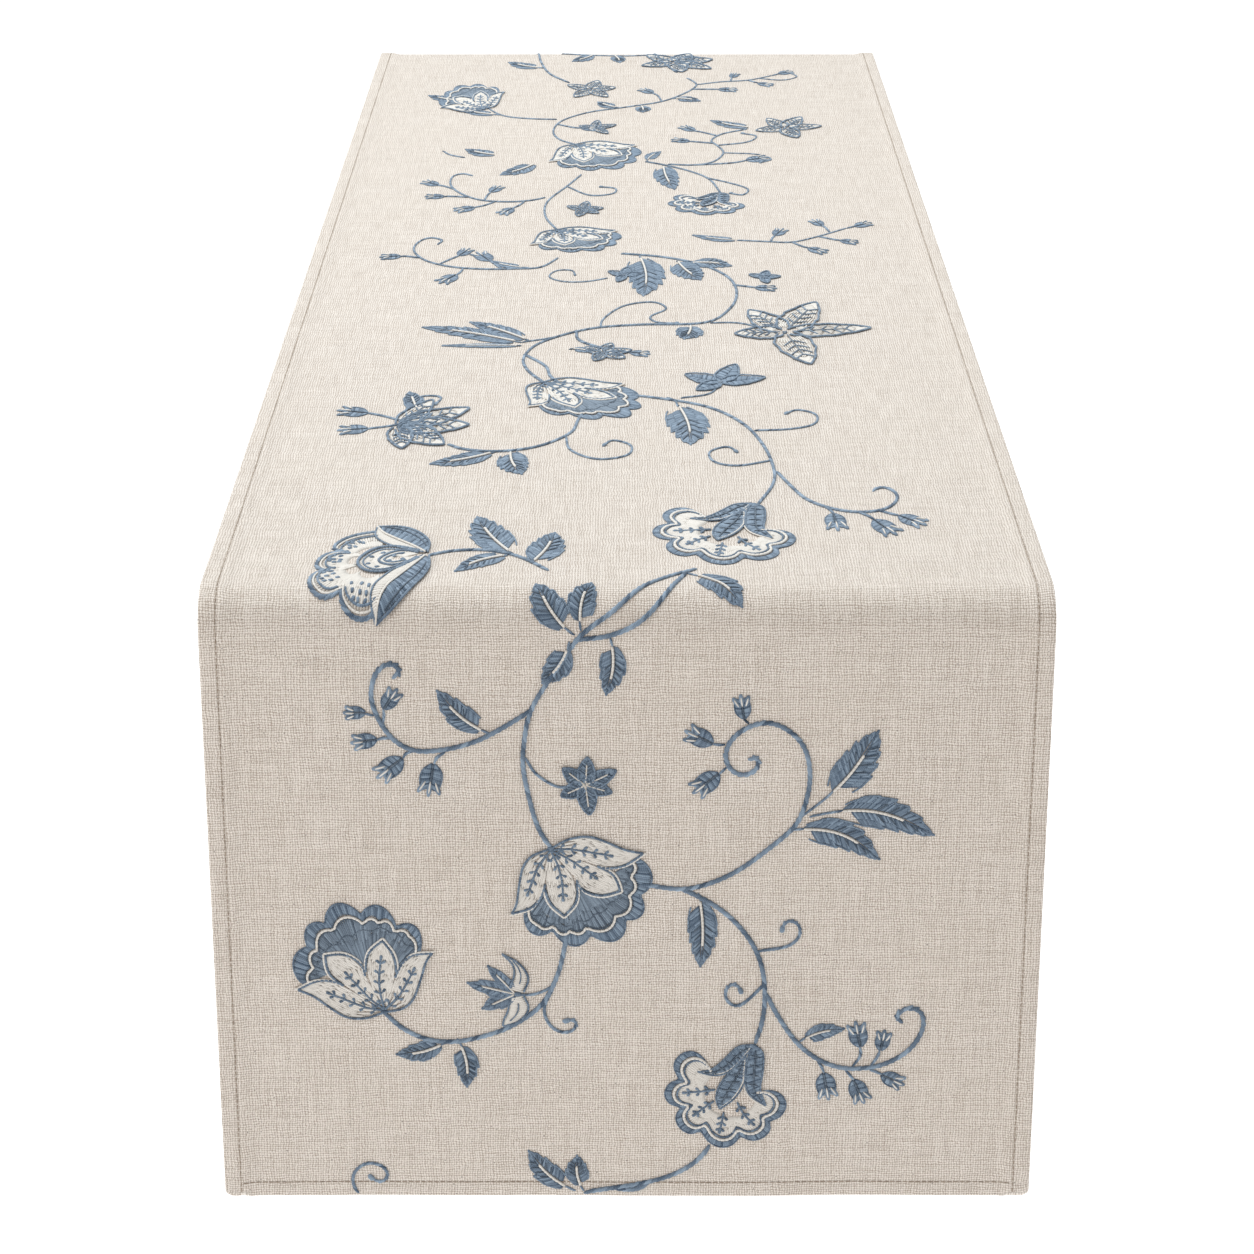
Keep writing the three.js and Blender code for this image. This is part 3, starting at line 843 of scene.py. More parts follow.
def pomegranate(piece, place):
    # a fan of rays in a scalloped rim, with four pale petals laid over it
    drawing = pomegranateDrawing
    middle = place(drawing["middle"])[0]
    rim = place(scallops(drawing["lineCusps"], drawing["lineBulges"], drawing["middle"]))
    ring = place(scallops(drawing["ringCusps"], drawing["ringBulges"], drawing["middle"]))
    fan(piece, middle, place(drawing["petalEdge"]), rim, 1.15, 2, "deep_blue_thread", 0.72, spread=0.34,
        vein=3)
    fan(piece, middle, towards(rim, middle, -0.6), ring, 1.15, 1, "blue_thread", 0.5, vein=3, spread=0.3)
    line(piece, evenly(rim, 0.5), 1.3, "pale_thread", 0.82, 0.12, base=0.75)
    line(piece, evenly(towards(rim, middle, 1.3), 0.5), 0.8, "deep_blue_thread", 0.15, 0.1, base=0.5)
    line(piece, evenly(towards(ring, middle, 0.4), 0.5), 0.95, "blue_thread", 0.25, base=0.35)
    # a second, inner row of scales drawn over the rays
    scales = place(scallops(drawing["scaleCusps"], [2.6] * 7, drawing["middle"]))
    line(piece, evenly(scales, 0.5), 0.8, "deep_blue_thread", 0.3, 0.25, base=0.5)
    for left, right, leftFrom, rightFrom, veinPoints in drawing["petals"]:
        left, right = smooth(place(left)), smooth(place(right))
        a, b = evenly(left, count=34), evenly(right, count=34)
        lanes = np.linspace(0.07, 0.93, max(4, round(np.linalg.norm(a - b, axis=1).max() / 1.2)))
        for number, lane in enumerate(lanes):
            lanePath = a + (b - a) * lane
            total = lengthOf(lanePath)
            rooted = 3 if number % 3 == 1 else 9 + 3 * (number % 2)
            begin = np.arange(rooted + dice.random() * 2, total - 2, 8.0)
            sew(piece, at(lanePath, begin), at(lanePath, np.minimum(begin + 8.6, total - 0.6)), 1.38,
                "pale_thread", tone=0.74, toneSpread=0.12, base=0.36, height=0.55)
        for path, start in ((left, leftFrom), (right, rightFrom)):
            shown = path[int(start * (len(path) - 1)):]
            line(piece, shown, 1.3, "blue_thread", 0.3, base=0.8)
            if start > 0:
                border = shown + (shown - middle) / np.linalg.norm(shown - middle, axis=1)[:, None] * 1.35
                line(piece, border, 1.15, "pale_thread", 0.85, 0.1, base=0.7)
        sprig(piece, place(veinPoints), 5, 2.3)
    dots(piece, place([(0, 0)]), 2.2, "blue_thread", 0.3, (1, 0.2))


bellDrawing = {
    # the rim, one round lobe after another
    "lobes": [
        [(-22.9, -10.6), (-26.6, -5.4), (-31.7, -3.5), (-37.2, -5.8), (-39.7, -11), (-36.7, -17.6)],
        [(-36.7, -17.6), (-41.8, -19.4), (-44.2, -24.6), (-41.7, -29.3), (-35.7, -31.2)],
        [(-35.7, -31.2), (-38.6, -36), (-36.6, -41.5), (-31.2, -44.5), (-26.1, -42.7)],
        [(-26.1, -42.7), (-21.8, -48.6), (-15.6, -51.3), (-9.8, -49.8), (-6.3, -45.5)],
        [(-6.3, -45.5), (-0.5, -47.8), (5.3, -46.4), (8.8, -42.4), (8, -38.2)],
        [(8, -38.2), (13.6, -36), (16.6, -30.7), (14.6, -25.6), (9.8, -23.2), (5.5, -23.6)],
    ],
    "core": [(-19, -14), (-24, -20), (-24, -27), (-20, -33), (-14, -36), (-7, -36), (-1, -32), (2, -27),
        (3, -22)],
    "middle": (-13, -25),
    "sepals": [
        ([(0, 0), (-8, -1), (-15, -7.5), (-21, -12.2), (-28, -13.3)],
         [(0, 0), (-6, -8), (-13, -13.8), (-20, -15.2), (-28, -13.3)]),
        ([(-4, -5), (-11, -12.5), (-17, -20), (-18.6, -27), (-16.6, -32)],
         [(-4, -5), (-3.6, -13), (-5, -20), (-9.5, -26.8), (-16.6, -32)]),
        ([(0, 0), (4.6, -4), (4.8, -13), (3.6, -22), (6.6, -30.4)],
         [(0, 0), (-3.4, -8), (-4.2, -18), (-1.6, -25), (6.6, -30.4)]),
    ],
    "sprigs": [
        [(-19, -22.4), (-26, -23.2), (-34.5, -23.8)], [(-19.6, -28), (-24, -31), (-29.5, -35)],
        [(-14.6, -33.6), (-15.4, -38), (-16.6, -43.4)], [(-8, -28.6), (-4.6, -34.5), (0.4, -39.6)],
    ],
}


def bell(piece, place):
    # a pale cup with a lobed blue rim, and three blue sepals over it
    drawing = bellDrawing
    middle = place(drawing["middle"])[0]
    ring = np.vstack([smooth(place(lobe)) for lobe in drawing["lobes"]])
    inner = towards(ring, middle, 3.7)
    fan(piece, middle, place(drawing["core"]), towards(ring, middle, 5.4), 1.35, 2, "pale_thread", 0.7,
        width=1.4, spread=0.14)
    fan(piece, middle, inner, ring, 1.1, 1, "blue_thread", 0.5, vein=5)
    line(piece, evenly(towards(ring, middle, 4.4), 0.5), 1.5, "pale_thread", 0.85, 0.1, base=0.6)
    line(piece, evenly(towards(ring, middle, 6.0), 0.5), 1.1, "blue_thread", 0.2, base=0.7)
    line(piece, evenly(ring, 0.5), 0.8, "blue_thread", 0.2, base=0.3)
    for left, right in drawing["sepals"]:
        a, b = smooth(place(left)), smooth(place(right))
        satin(piece, a, b, 0.9, tone=0.5, split=6.5, vein=5, spread=0.32, base=0.55)
        line(piece, a, 0.9, "blue_thread", 0.28, base=0.75)
        line(piece, b, 0.9, "blue_thread", 0.28, base=0.75)
        spine = (evenly(a, count=30) + evenly(b, count=30)) / 2
        line(piece, evenly(spine[3:27], 0.5), 0.8, "deep_blue_thread", 0.15, base=1.1)
        first, last = evenly(a, count=30), evenly(b, count=30)
        for k in range(7, 26, 4):
            low, high = first[k] * 0.8 + last[k] * 0.2, first[k - 2] * 0.2 + last[k - 2] * 0.8
            sew(piece, [low], [high], 0.75, "deep_blue_thread", tone=0.2, toneSpread=0.2, base=1.2,
                height=0.5)
        line(piece, evenly(b - sideways(b) * 0.9, 0.5)[4:], 0.85, "pale_thread", 0.8, base=0.6)
    for points in drawing["sprigs"]:
        sprig(piece, place(points), 3, 2.0)


peonyDrawing = {
    "lobes": [
        [(-22, 32), (-36, 28), (-46, 20), (-50, 8), (-40, 2)],
        [(-40, 4), (-52, 2), (-57, -9), (-55, -19), (-46, -22)],
        [(-46, -18), (-57, -24), (-58, -38), (-51, -47), (-41, -43)],
        [(-41, -40), (-40, -50), (-33, -57), (-24, -56), (-19, -48)],
    ],
    "centre": [(-2, 4), (-16, 10), (-28, 6), (-35, -10), (-28, -22), (-15, -20), (-2, -5)],
    "root": (-26, -6),
    "heart": (-14, -4),
    "spots": [(-28, -3), (-29, -12), (-24, -16), (-16, -2), (-18, -8), (-11, -6), (-12, 1), (-22, 2)],
    "innerPetal": [(-3, 2), (-12, 5), (-20, 0), (-24, -9), (-17, -14), (-9, -11), (-3, -3)],
    "sepals": [
        ([(2, 2), (2, 16), (-5, 29), (-15, 36), (-28, 36)],
         [(0, 2), (-10, 6), (-21, 13), (-28, 23), (-28, 36)]),
        ([(3, -2), (4, -18), (-1, -36), (-11, -50), (-22, -60)],
         [(0, -2), (-10, -13), (-19, -28), (-25, -45), (-22, -60)]),
    ],
}


def peony(piece, place):
    # four pale lobes round a pale heart, with two big sepals folded over
    drawing = peonyDrawing
    root = place(drawing["root"])[0]
    heart = place(drawing["heart"])[0]
    for lobe in drawing["lobes"]:
        path = smooth(place(lobe))
        inside = towards(path, root, 3.0)
        fan(piece, root, root + (path - root) * 0.45, inside, 1.5, 2, "pale_thread", 0.75, width=1.3,
            spread=0.14)
        rope(piece, path, 2.7, "blue_thread", 0.45)
        line(piece, towards(path, root, 2.2), 1.0, "pale_thread", 0.85, base=0.5)
        line(piece, towards(path, root, 4.6)[8:-8], 1.15, "blue_thread", 0.4, base=0.75)
        away = path[len(path) // 2] - root
        for part in (0.62, 0.72, 0.82):
            for lean in (-0.22, 0.0, 0.2):
                spot = root + away * part + np.array([-away[1], away[0]]) * lean * (1.2 - part)
                spot = spot + (dice.random(2) - 0.5) * 1.6
                dots(piece, [spot], 1.7, "blue_thread", 0.4, away + (dice.random(2) - 0.5) * 14)
    for points, width in ((drawing["centre"], 1.3), (drawing["innerPetal"], 1.0)):
        path = smooth(place(points))
        inside = heart + (path - heart) * 0.25
        fan(piece, heart, inside, path, 1.5, 2, "pale_thread", 0.78, width=1.3, spread=0.12)
        line(piece, path, width + 0.3, "blue_thread", 0.35, base=0.8)
        line(piece, towards(path, heart, 2.6)[10:-10], 0.9, "blue_thread", 0.45, base=0.8)
    dots(piece, place(drawing["spots"]), 1.7, "blue_thread", 0.4, (1, 0.5))
    for outer, inner in drawing["sepals"]:
        a, b = smooth(place(outer)), smooth(place(inner))
        half = evenly(a, count=60) * 0.36 + evenly(b, count=60) * 0.64
        satin(piece, evenly(half, 0.5), a, 1.15, "blue_thread", 0.5, slant=0.08, vein=3, base=0.75)
        satin(piece, evenly(half, 0.5), b, 1.2, "pale_thread", 0.8, slant=0.04, spread=0.12, base=0.75)
        line(piece, a, 1.2, "blue_thread", 0.35, base=1.0)
        line(piece, b, 1.0, "blue_thread", 0.35, base=1.0)
        line(piece, evenly(half, 0.5), 1.1, "pale_thread", 0.85, base=1.15)
        spine = (evenly(a, count=60) * 0.68 + evenly(half, count=60) * 0.32)[8:52]
        line(piece, evenly(spine, 0.5), 0.8, "deep_blue_thread", 0.15, base=1.25)


def petalStar(piece, centre, petals, fill="pale_thread", veins=True, core="deep_blue_thread"):
    # loose serrated petals round one point: each is (tip across, tip along, width)
    centre = squash(centre)
    for tipAcross, tipAlong, width in petals:
        axis = squash((tipAcross, tipAlong))
        reach = np.linalg.norm(axis)
        forward = axis / reach
        normal = np.array([-forward[1], forward[0]])
        share = np.linspace(0, 1, 49)
        middle = centre + axis * share[:, None]
        swell = np.sin(np.pi * share ** 0.72) ** 0.75 * (1 - 0.16 * ((share * 4) % 1.0))
        left = middle + normal * (width / 2 * swell)[:, None]
        right = middle - normal * (width / 2 * swell)[:, None]
        if fill == "pale_thread":
            for lane in np.linspace(0.15, 0.85, max(3, round(width / 2.2))):
                lanePath = evenly(left + (right - left) * lane, 0.6)
                begin = np.arange(reach * 0.2, lengthOf(lanePath) - 2.5, 6.5)
                sew(piece, at(lanePath, begin), at(lanePath, begin + 6.4), 1.15, "pale_thread", tone=0.75,
                    toneSpread=0.15, base=0.35, height=0.6)
        else:
            satin(piece, evenly(middle, 0.5), left, 0.9, fill, 0.5, slant=0.1, vein=4)
            satin(piece, evenly(middle, 0.5), right, 0.9, fill, 0.5, slant=0.1, vein=4)
        rim = 1.5 if width > 14 else 1.1
        line(piece, evenly(left[2:], 0.5), rim, "blue_thread", 0.35, base=0.7)
        line(piece, evenly(right[2:], 0.5), rim, "blue_thread", 0.35, base=0.7)
        if veins:
            line(piece, evenly(middle[4:36], 0.5), 0.8, core, 0.5, base=0.8)
            for part in (0.28, 0.42, 0.56, 0.7):
                for sideSign in (1, -1):
                    root = centre + axis * part
                    end = root + normal * sideSign * width * 0.28 + forward * width * 0.24
                    sew(piece, [root], [end], 0.95 if width > 14 else 0.75, "blue_thread", tone=0.35,
                        base=0.85)
    dots(piece, centre + np.array([(-0.8, 0), (0.8, 0.3), (0, -0.9)]), 1.5, core, 0.4)


def lily(piece):
    # a half-open flower: two pale petals that curl away from three dark leaves
    rope(piece, smooth([(-35, 121.5), (-41, 117.5), (-47, 115.5), (-54, 115.6)]), 2.0)
    for tip, width in (((-71, 108), 9), ((-78, 122), 9), ((-68, 131), 7)):
        leaf(piece, (-55, 116), tip, width, 0.0, 2)
    for outer, inner in (
        ([(-51, 117), (-48.5, 125), (-53, 133), (-61.5, 138.5)],
         [(-58, 119), (-55.5, 127), (-56.5, 133), (-61.5, 138.5)]),
        ([(-51, 115), (-48.5, 108), (-53, 101), (-61.5, 98)],
         [(-58, 113), (-59, 106), (-61, 102), (-61.5, 98)]),
    ):
        a, b = smooth(outer), smooth(inner)
        satin(piece, a, b, 1.2, "pale_thread", 0.75, spread=0.14, base=0.3)
        line(piece, a, 1.15, "blue_thread", 0.3, base=0.6)
        line(piece, b, 1.15, "blue_thread", 0.3, base=0.6)
        line(piece, evenly(((evenly(a, count=20) + evenly(b, count=20)) / 2)[3:15], 0.5), 0.7,
            "blue_thread", 0.3, base=0.8)
    dots(piece, [(-54, 116)], 2.4, "blue_thread", 0.3, (1, 0))


def sideFlower(piece):
    # seen from its side: ragged pale petals opening away from the stem
    petalStar(piece, (-124, 562), [(16, 44, 15), (37, 30, 19), (38, 2, 20), (26, -30, 20), (4, -36, 15)])
    petalStar(piece, (-124, 562), [(16, 20, 9), (20, 4, 9), (14, -14, 9)], "blue_thread", False,
        "blue_thread")
    leaf(piece, (-116, 590), (-122, 620), 12, 0.0, 3)


# the embroidery, in millimetres across and along the cloth: each entry is one piece

stems = {
    "front_main_stem": [
        [(34, 355), (22, 347), (8, 334), (-6, 320), (-22, 308), (-33, 291), (-39, 282), (-46, 269),
            (-49, 255), (-50, 240), (-47, 222), (-43, 207), (-37, 196)],
        [(29, 351), (20, 331), (8, 316), (-8, 308), (-24, 306)],
    ],
    "front_left_stem": [[(-29, 152), (-31, 140), (-34, 127), (-42, 110), (-57, 98), (-72, 92), (-87, 89),
        (-101, 91), (-113, 98), (-120, 106)]],
    "front_right_stem": [[(6, 177), (26, 174), (40, 177), (54, 184), (69, 196), (82, 209), (87, 224),
        (88, 237), (85, 250), (77, 259), (67, 263), (57, 260), (50, 254), (47, 246), (49, 239), (54, 235),
        (60, 236), (64, 241), (62, 246), (58, 244)]],
    "front_falling_stem": [[(27, 174), (40, 167), (52, 157), (62, 143), (67, 128), (68, 110), (66, 96),
        (63, 88)]],
    "front_low_branch": [[(68, 118), (74, 105), (84, 89), (95, 79), (107, 74), (120, 74), (130, 77),
        (140, 84), (146, 94), (147, 102), (144, 108), (139, 108), (134, 106), (133, 101), (136, 99)]],
    "front_bud_branch": [[(-46, 269), (-58, 261), (-70, 254), (-81, 250), (-92, 248), (-102, 248),
        (-111, 253), (-118, 263), (-122, 275), (-121, 284), (-118, 291), (-112, 294), (-108, 292),
        (-108, 287), (-112, 286)]],
    "front_bottom_stem": [[(42, 30), (34, 20), (22, 12.5), (8, 8), (-8, 5), (-22, 2.5)],
        [(-6, 5), (4, 4), (12, 9)]],
    "top_bell_stem": [[(66, 441), (75, 470), (77, 494), (73, 532), (63, 568), (44, 596), (14, 612),
        (-6, 617)]],
    "top_right_branch": [[(78, 492), (85, 468), (92, 449), (104, 436), (118, 431), (131, 436), (138, 450),
        (137, 462), (131, 468), (126, 462)]],
    "top_left_stem": [[(-24, 586), (-27, 572), (-30, 553), (-42, 535), (-56, 525), (-72, 522), (-88, 526),
        (-96, 534)]],
    "top_peony_stem": [[(-97, 372), (-85, 378), (-70, 379), (-56, 373), (-46, 363), (-38, 352)]],
    "top_near_stem": [
        [(-47, 637), (-57, 660), (-60, 684), (-51, 712), (-24, 738), (6, 747), (46, 751), (62, 778),
            (68, 812), (64, 846), (48, 874), (24, 892), (-4, 901)],
        [(-60, 690), (-47, 668), (-44, 650), (-38, 636)], [(-30, 737), (-28, 716), (-10, 697)],
    ],
    "top_middle_left_branch": [[(-44, 892), (-55, 870), (-70, 866), (-92, 865), (-112, 870), (-129, 884),
        (-138, 906), (-137, 926), (-130, 938), (-121, 932), (-124, 922)]],
    "top_middle_stem": [[(-46, 956), (-54, 985), (-56, 1012), (-53, 1036), (-42, 1070), (-32, 1103)]],
    "top_far_left_branch": [[(-56, 1040), (-66, 1032), (-82, 1028), (-101, 1033), (-115, 1050),
        (-123, 1072), (-123, 1096), (-116, 1104), (-109, 1098)]],
    "top_small_bell_stem": [[(13, 1138), (28, 1127), (45, 1110), (58, 1088), (65, 1050)]],
    "top_far_right_branch": [[(29, 1130), (48, 1128), (62, 1138), (70, 1164), (66, 1186), (62, 1200),
        (70, 1220), (90, 1236)]],
    "top_far_stem": [[(-37, 1187), (-50, 1204), (-55, 1230), (-49, 1262), (-29, 1289), (0, 1306),
        (27, 1324), (46, 1354), (55, 1382), (48, 1406)]],
    "top_back_stem": [[(40, 1425), (30, 1460), (24, 1490), (17, 1530), (9, 1586)],
        [(-46, 1388), (-62, 1420), (-70, 1462), (-73, 1498)]],
    "back_left_stem": [
        [(-16, 1630), (-40, 1640), (-66, 1656), (-80, 1676), (-82, 1702)],
        [(20, 1516), (-8, 1530), (-36, 1556), (-58, 1600)],
        [(4, 1640), (10, 1672), (26, 1706), (34, 1744), (22, 1780), (-4, 1804), (-40, 1822)],
    ],
    "back_right_stem": [[(20, 1612), (62, 1612), (96, 1626), (116, 1660)],
        [(30, 1716), (56, 1730), (84, 1736), (104, 1752), (108, 1774), (98, 1788), (88, 1780)]],
}

leaves = {
    "front_upper_leaf": [((83, 212), (120, 258), 19, -0.07, 0.33)],
    "front_middle_leaf": [((88, 213), (148, 203), 18, 0.13, 0.22)],
    "front_lower_leaf": [((79, 206), (122, 190), 16, 0.14, 0.10)],
    "front_vine_leaf": [((35, 172), (36, 132), 15, 0.04, 0.08)],
    "top_peony_leaf": [((-56, 374), (-75, 424), 20, 0.05), ((-58, 372), (-82, 352), 11, -0.08),
        ((-46, 362), (-36, 402), 18, -0.06)],
    "top_bell_leaf": [((28, 600), (34, 534), 24, 0.05)],
    "top_left_leaf": [((-70, 521), (-103, 503), 13, 0.05), ((-62, 523), (-55, 488), 17, -0.08)],
    "top_vine_leaf": [((-62, 712), (-122, 742), 15, -0.03), ((-58, 716), (-94, 752), 13, -0.03),
        ((-62, 706), (-108, 706), 5, 0.0)],
    "top_middle_leaf": [((8, 896), (10, 808), 25, 0.05), ((32, 884), (46, 842), 20, -0.05),
        ((40, 878), (66, 872), 15, 0.1)],
    "top_right_leaf": [((26, 1128), (33, 1062), 18, -0.04)],
    "back_left_leaf": [((-60, 1600), (-104, 1585), 15, 0.08), ((-58, 1606), (-88, 1632), 13, -0.08)],
}

flowers = {
    "front_main_flower": (pomegranate, placing((-37, 196), (1.0, 1.09))),
    "front_left_flower": (pomegranate, placing((-120, 106), (0.97, 1.17), 169)),
    "front_bell_flower": (bell, placing((63, 88), (1.0, 1.15))),
    "front_star_flower": (petalStar, (-20, 230), [(1, 15, 9), (15, 8, 9), (13, -4, 8), (2, -16, 10),
        (-12, -6, 9), (-11, 9, 9)], "blue_thread", True, "pale_thread"),
    "front_lily": (lily,),
    "top_peony": (peony, placing((-99, 373), (0.90, 1.0))),
    "top_bell_flower": (bell, placing((64, 443), (1.16, 1.6))),
    "top_left_flower": (sideFlower,),
    "top_near_flower": (pomegranate, placing((-47, 637), (0.97, 1.28), 0, 0.36)),
    "top_star_flower": (petalStar, (94, 732), [(52, 8, 18), (22, 60, 24), (-20, 44, 21), (-30, -4, 18),
        (12, -62, 24)]),
    "top_middle_flower": (pomegranate, placing((-46, 956), (0.86, 1.05))),
    "top_small_bell_flower": (bell, placing((66, 1050), (0.86, 1.08))),
    "top_far_flower": (pomegranate, placing((-37, 1187), (0.96, 1.5))),
    "top_right_flower": (petalStar, (118, 1238), [(28, 6, 13), (14, 34, 15), (-12, 30, 14), (-22, -8, 13),
        (8, -30, 15)]),
    "top_far_left_flower": (pomegranate, placing((-110, 1298), (0.72, 1.75), 180)),
    "top_far_small_flower": (petalStar, (-29, 1364), [(20, 6, 13), (6, 30, 13), (-18, 16, 12),
        (-12, -26, 13), (14, -26, 12)]),
    "back_main_flower": (pomegranate, placing((8, 1586), (1.0, 1.0), 180)),
    "back_bell_flower": (bell, placing((-82, 1702), (1.0, 1.0), 180)),
    "back_right_flower": (pomegranate, placing((116, 1660), (0.95, 0.95), 190)),
}


budSprays = {
    "front_bud_branch": [
        ([(-121, 266), (-125, 268)], (-136, 268)),
        ([(-112, 254), (-116, 255), (-120, 254)], (-133, 252)),
        ([(-101, 248), (-106, 247), (-108, 244)], (-121, 233)),
        ([(-87, 247), (-91, 245), (-93, 241)], (-96, 223)),
        ([(-117, 262), (-116, 266), (-116, 270)], (-109, 281)),
    ],
    "front_right_stem": [
        ([(58, 262), (56, 265)], (54, 278)),
        ([(47, 251), (44, 251), (41, 252)], (27, 259)),
        ([(48, 239), (44, 236)], (31, 225)),
    ],
    "front_low_branch": [
        ([(95, 78), (97, 75), (98, 71)], (101, 55)),
        ([(109, 73), (111, 70), (113, 67)], (119, 53)),
        ([(121, 73), (124, 72), (127, 70)], (139, 64)),
        ([(112, 75), (116, 80), (116, 86)], (113, 101)),
        ([(121, 75), (124, 79), (126, 84)], (128, 96)),
    ],
    "top_right_branch": [
        ([(100, 440), (103, 434), (104, 429)], (105, 404)),
        ([(117, 431), (122, 425), (124, 420)], (134, 398)),
        ([(128, 433), (134, 428), (137, 426)], (150, 412)),
    ],
    "top_left_stem": [
        ([(-124, 572), (-134, 580), (-143, 585)], (-161, 590)),
        ([(-124, 566), (-132, 562), (-141, 559)], (-158, 556)),
    ],
    "top_middle_left_branch": [
        ([(-80, 866), (-86, 880), (-88, 884)], (-98, 906)),
        ([(-104, 867), (-106, 856), (-108, 852)], (-118, 832)),
        ([(-133, 890), (-142, 894), (-146, 894)], (-160, 892)),
        ([(-120, 876), (-112, 890), (-108, 896)], (-102, 914)),
    ],
    "top_far_left_branch": [
        ([(-70, 1030), (-74, 1018), (-78, 1012)], (-86, 994)),
        ([(-90, 1029), (-98, 1018), (-104, 1014)], (-118, 1004)),
        ([(-108, 1040), (-120, 1042), (-126, 1042)], (-140, 1042)),
        ([(-98, 1032), (-96, 1048), (-94, 1054)], (-88, 1072)),
        ([(-119, 1060), (-128, 1070), (-132, 1072)], (-144, 1084)),
    ],
    "top_far_right_branch": [
        ([(64, 1192), (52, 1196), (46, 1198)], (32, 1204)),
        ([(68, 1214), (56, 1226), (50, 1230)], (40, 1246)),
    ],
    "top_near_stem": [
        ([(-10, 697), (-2, 694), (2, 693)], (14, 690)),
        ([(66, 830), (76, 826), (80, 824)], (94, 822)),
    ],
    "top_far_stem": [
        ([(-52, 1250), (-40, 1240), (-34, 1238)], (-22, 1234)),
        ([(27, 1324), (24, 1344), (20, 1352)], (10, 1368)),
        ([(50, 1366), (66, 1366), (72, 1366)], (88, 1364)),
    ],
    "back_left_stem": [
        ([(-74, 1664), (-90, 1660), (-98, 1658)], (-112, 1656)),
        ([(-58, 1650), (-62, 1668), (-60, 1674)], (-52, 1690)),
    ],
    "back_right_stem": [
        ([(62, 1612), (68, 1600), (70, 1594)], (74, 1578)),
        ([(66, 1732), (70, 1718), (74, 1714)], (84, 1704)),
        ([(94, 1742), (104, 1736), (108, 1732)], (118, 1722)),
        ([(102, 1750), (116, 1752), (120, 1752)], (134, 1750)),
        ([(76, 1735), (74, 1750), (76, 1756)], (82, 1770)),
    ],
}

tendrils = {
    "front_falling_stem": [
        [(68, 122), (60, 113), (54, 109), (49, 113), (49, 120), (54, 122), (56, 118)],
        [(64, 140), (72, 141), (80, 143), (85, 149), (83, 156), (77, 156), (76, 152)],
    ],
    "front_left_stem": [[(-36, 120), (-41, 108), (-38, 98), (-31, 94), (-25, 97), (-26, 102), (-30, 101)]],
    "front_bottom_stem": [[(-136, 1.5), (-138.5, 8), (-137, 15), (-130, 19.5), (-122, 16.5), (-121, 10),
        (-126, 8), (-129, 11)]],
    "top_bell_stem": [
        [(76, 508), (58, 500), (46, 506), (44, 522), (54, 530), (58, 522)],
        [(69, 556), (88, 558), (102, 566), (104, 582), (94, 590), (88, 584)],
    ],
    "top_left_stem": [
        [(-33, 547), (-30, 524), (-16, 510), (0, 516), (2, 532), (-8, 540), (-12, 532)],
        [(-100, 538), (-116, 560), (-122, 590), (-116, 612), (-104, 612), (-106, 600)],
    ],
    "top_near_stem": [[(-16, 741), (-14, 760), (-2, 786), (16, 794), (24, 780), (14, 764), (18, 752),
        (30, 750)]],
    "top_middle_stem": [[(-42, 1070), (-26, 1046), (-10, 1050), (-8, 1064), (-18, 1068)]],
    "top_small_bell_stem": [[(56, 1092), (72, 1078), (84, 1062), (80, 1046), (72, 1050)]],
    "top_far_right_branch": [[(66, 1186), (88, 1196), (96, 1214), (86, 1222)]],
    "top_far_stem": [[(-53, 1266), (-72, 1268), (-92, 1276), (-104, 1296), (-110, 1320)]],
    "back_right_stem": [[(88, 1622), (108, 1612), (124, 1618), (124, 1632), (115, 1632)]],
}

# small leaves that grow on the stems: foot, tip, width
stemLeaves = {
    "front_main_stem": [((-25, 308), (-43, 335), 16), ((-22, 310), (-17, 336), 14),
        ((-8, 308), (-10, 278), 13), ((-27, 305), (-40, 284), 13), ((28, 350), (54, 322), 16)],
    "front_bud_branch": [((-64, 256), (-90, 279), 13)],
    "front_left_stem": [((-88, 90), (-114, 82), 11), ((-84, 91), (-80, 64), 12)],
    "front_low_branch": [((85, 89), (107, 96), 9)],
    "front_bottom_stem": [((-26, 3), (-49, 26), 13), ((-22, 3), (-25, 23), 12)],
    "top_near_stem": [((38, 750), (34, 720), 17), ((-34, 700), (-20, 694), 6)],
    "top_middle_left_branch": [((-62, 868), (-88, 884), 7)],
    "top_small_bell_stem": [((14, 1138), (24, 1166), 9)],
    "top_far_stem": [((-6, 1303), (-22, 1322), 11), ((10, 1312), (12, 1290), 12),
        ((-95, 1280), (-128, 1300), 11), ((34, 1334), (56, 1326), 12)],
    "top_back_stem": [((30, 1460), (60, 1480), 18), ((-66, 1440), (-96, 1462), 14),
        ((18, 1520), (52, 1536), 15), ((6, 1560), (-30, 1548), 15)],
    "back_left_stem": [((28, 1712), (-2, 1726), 13), ((34, 1744), (58, 1760), 13),
        ((8, 1798), (-2, 1766), 13), ((-10, 1808), (-46, 1790), 12)],
}

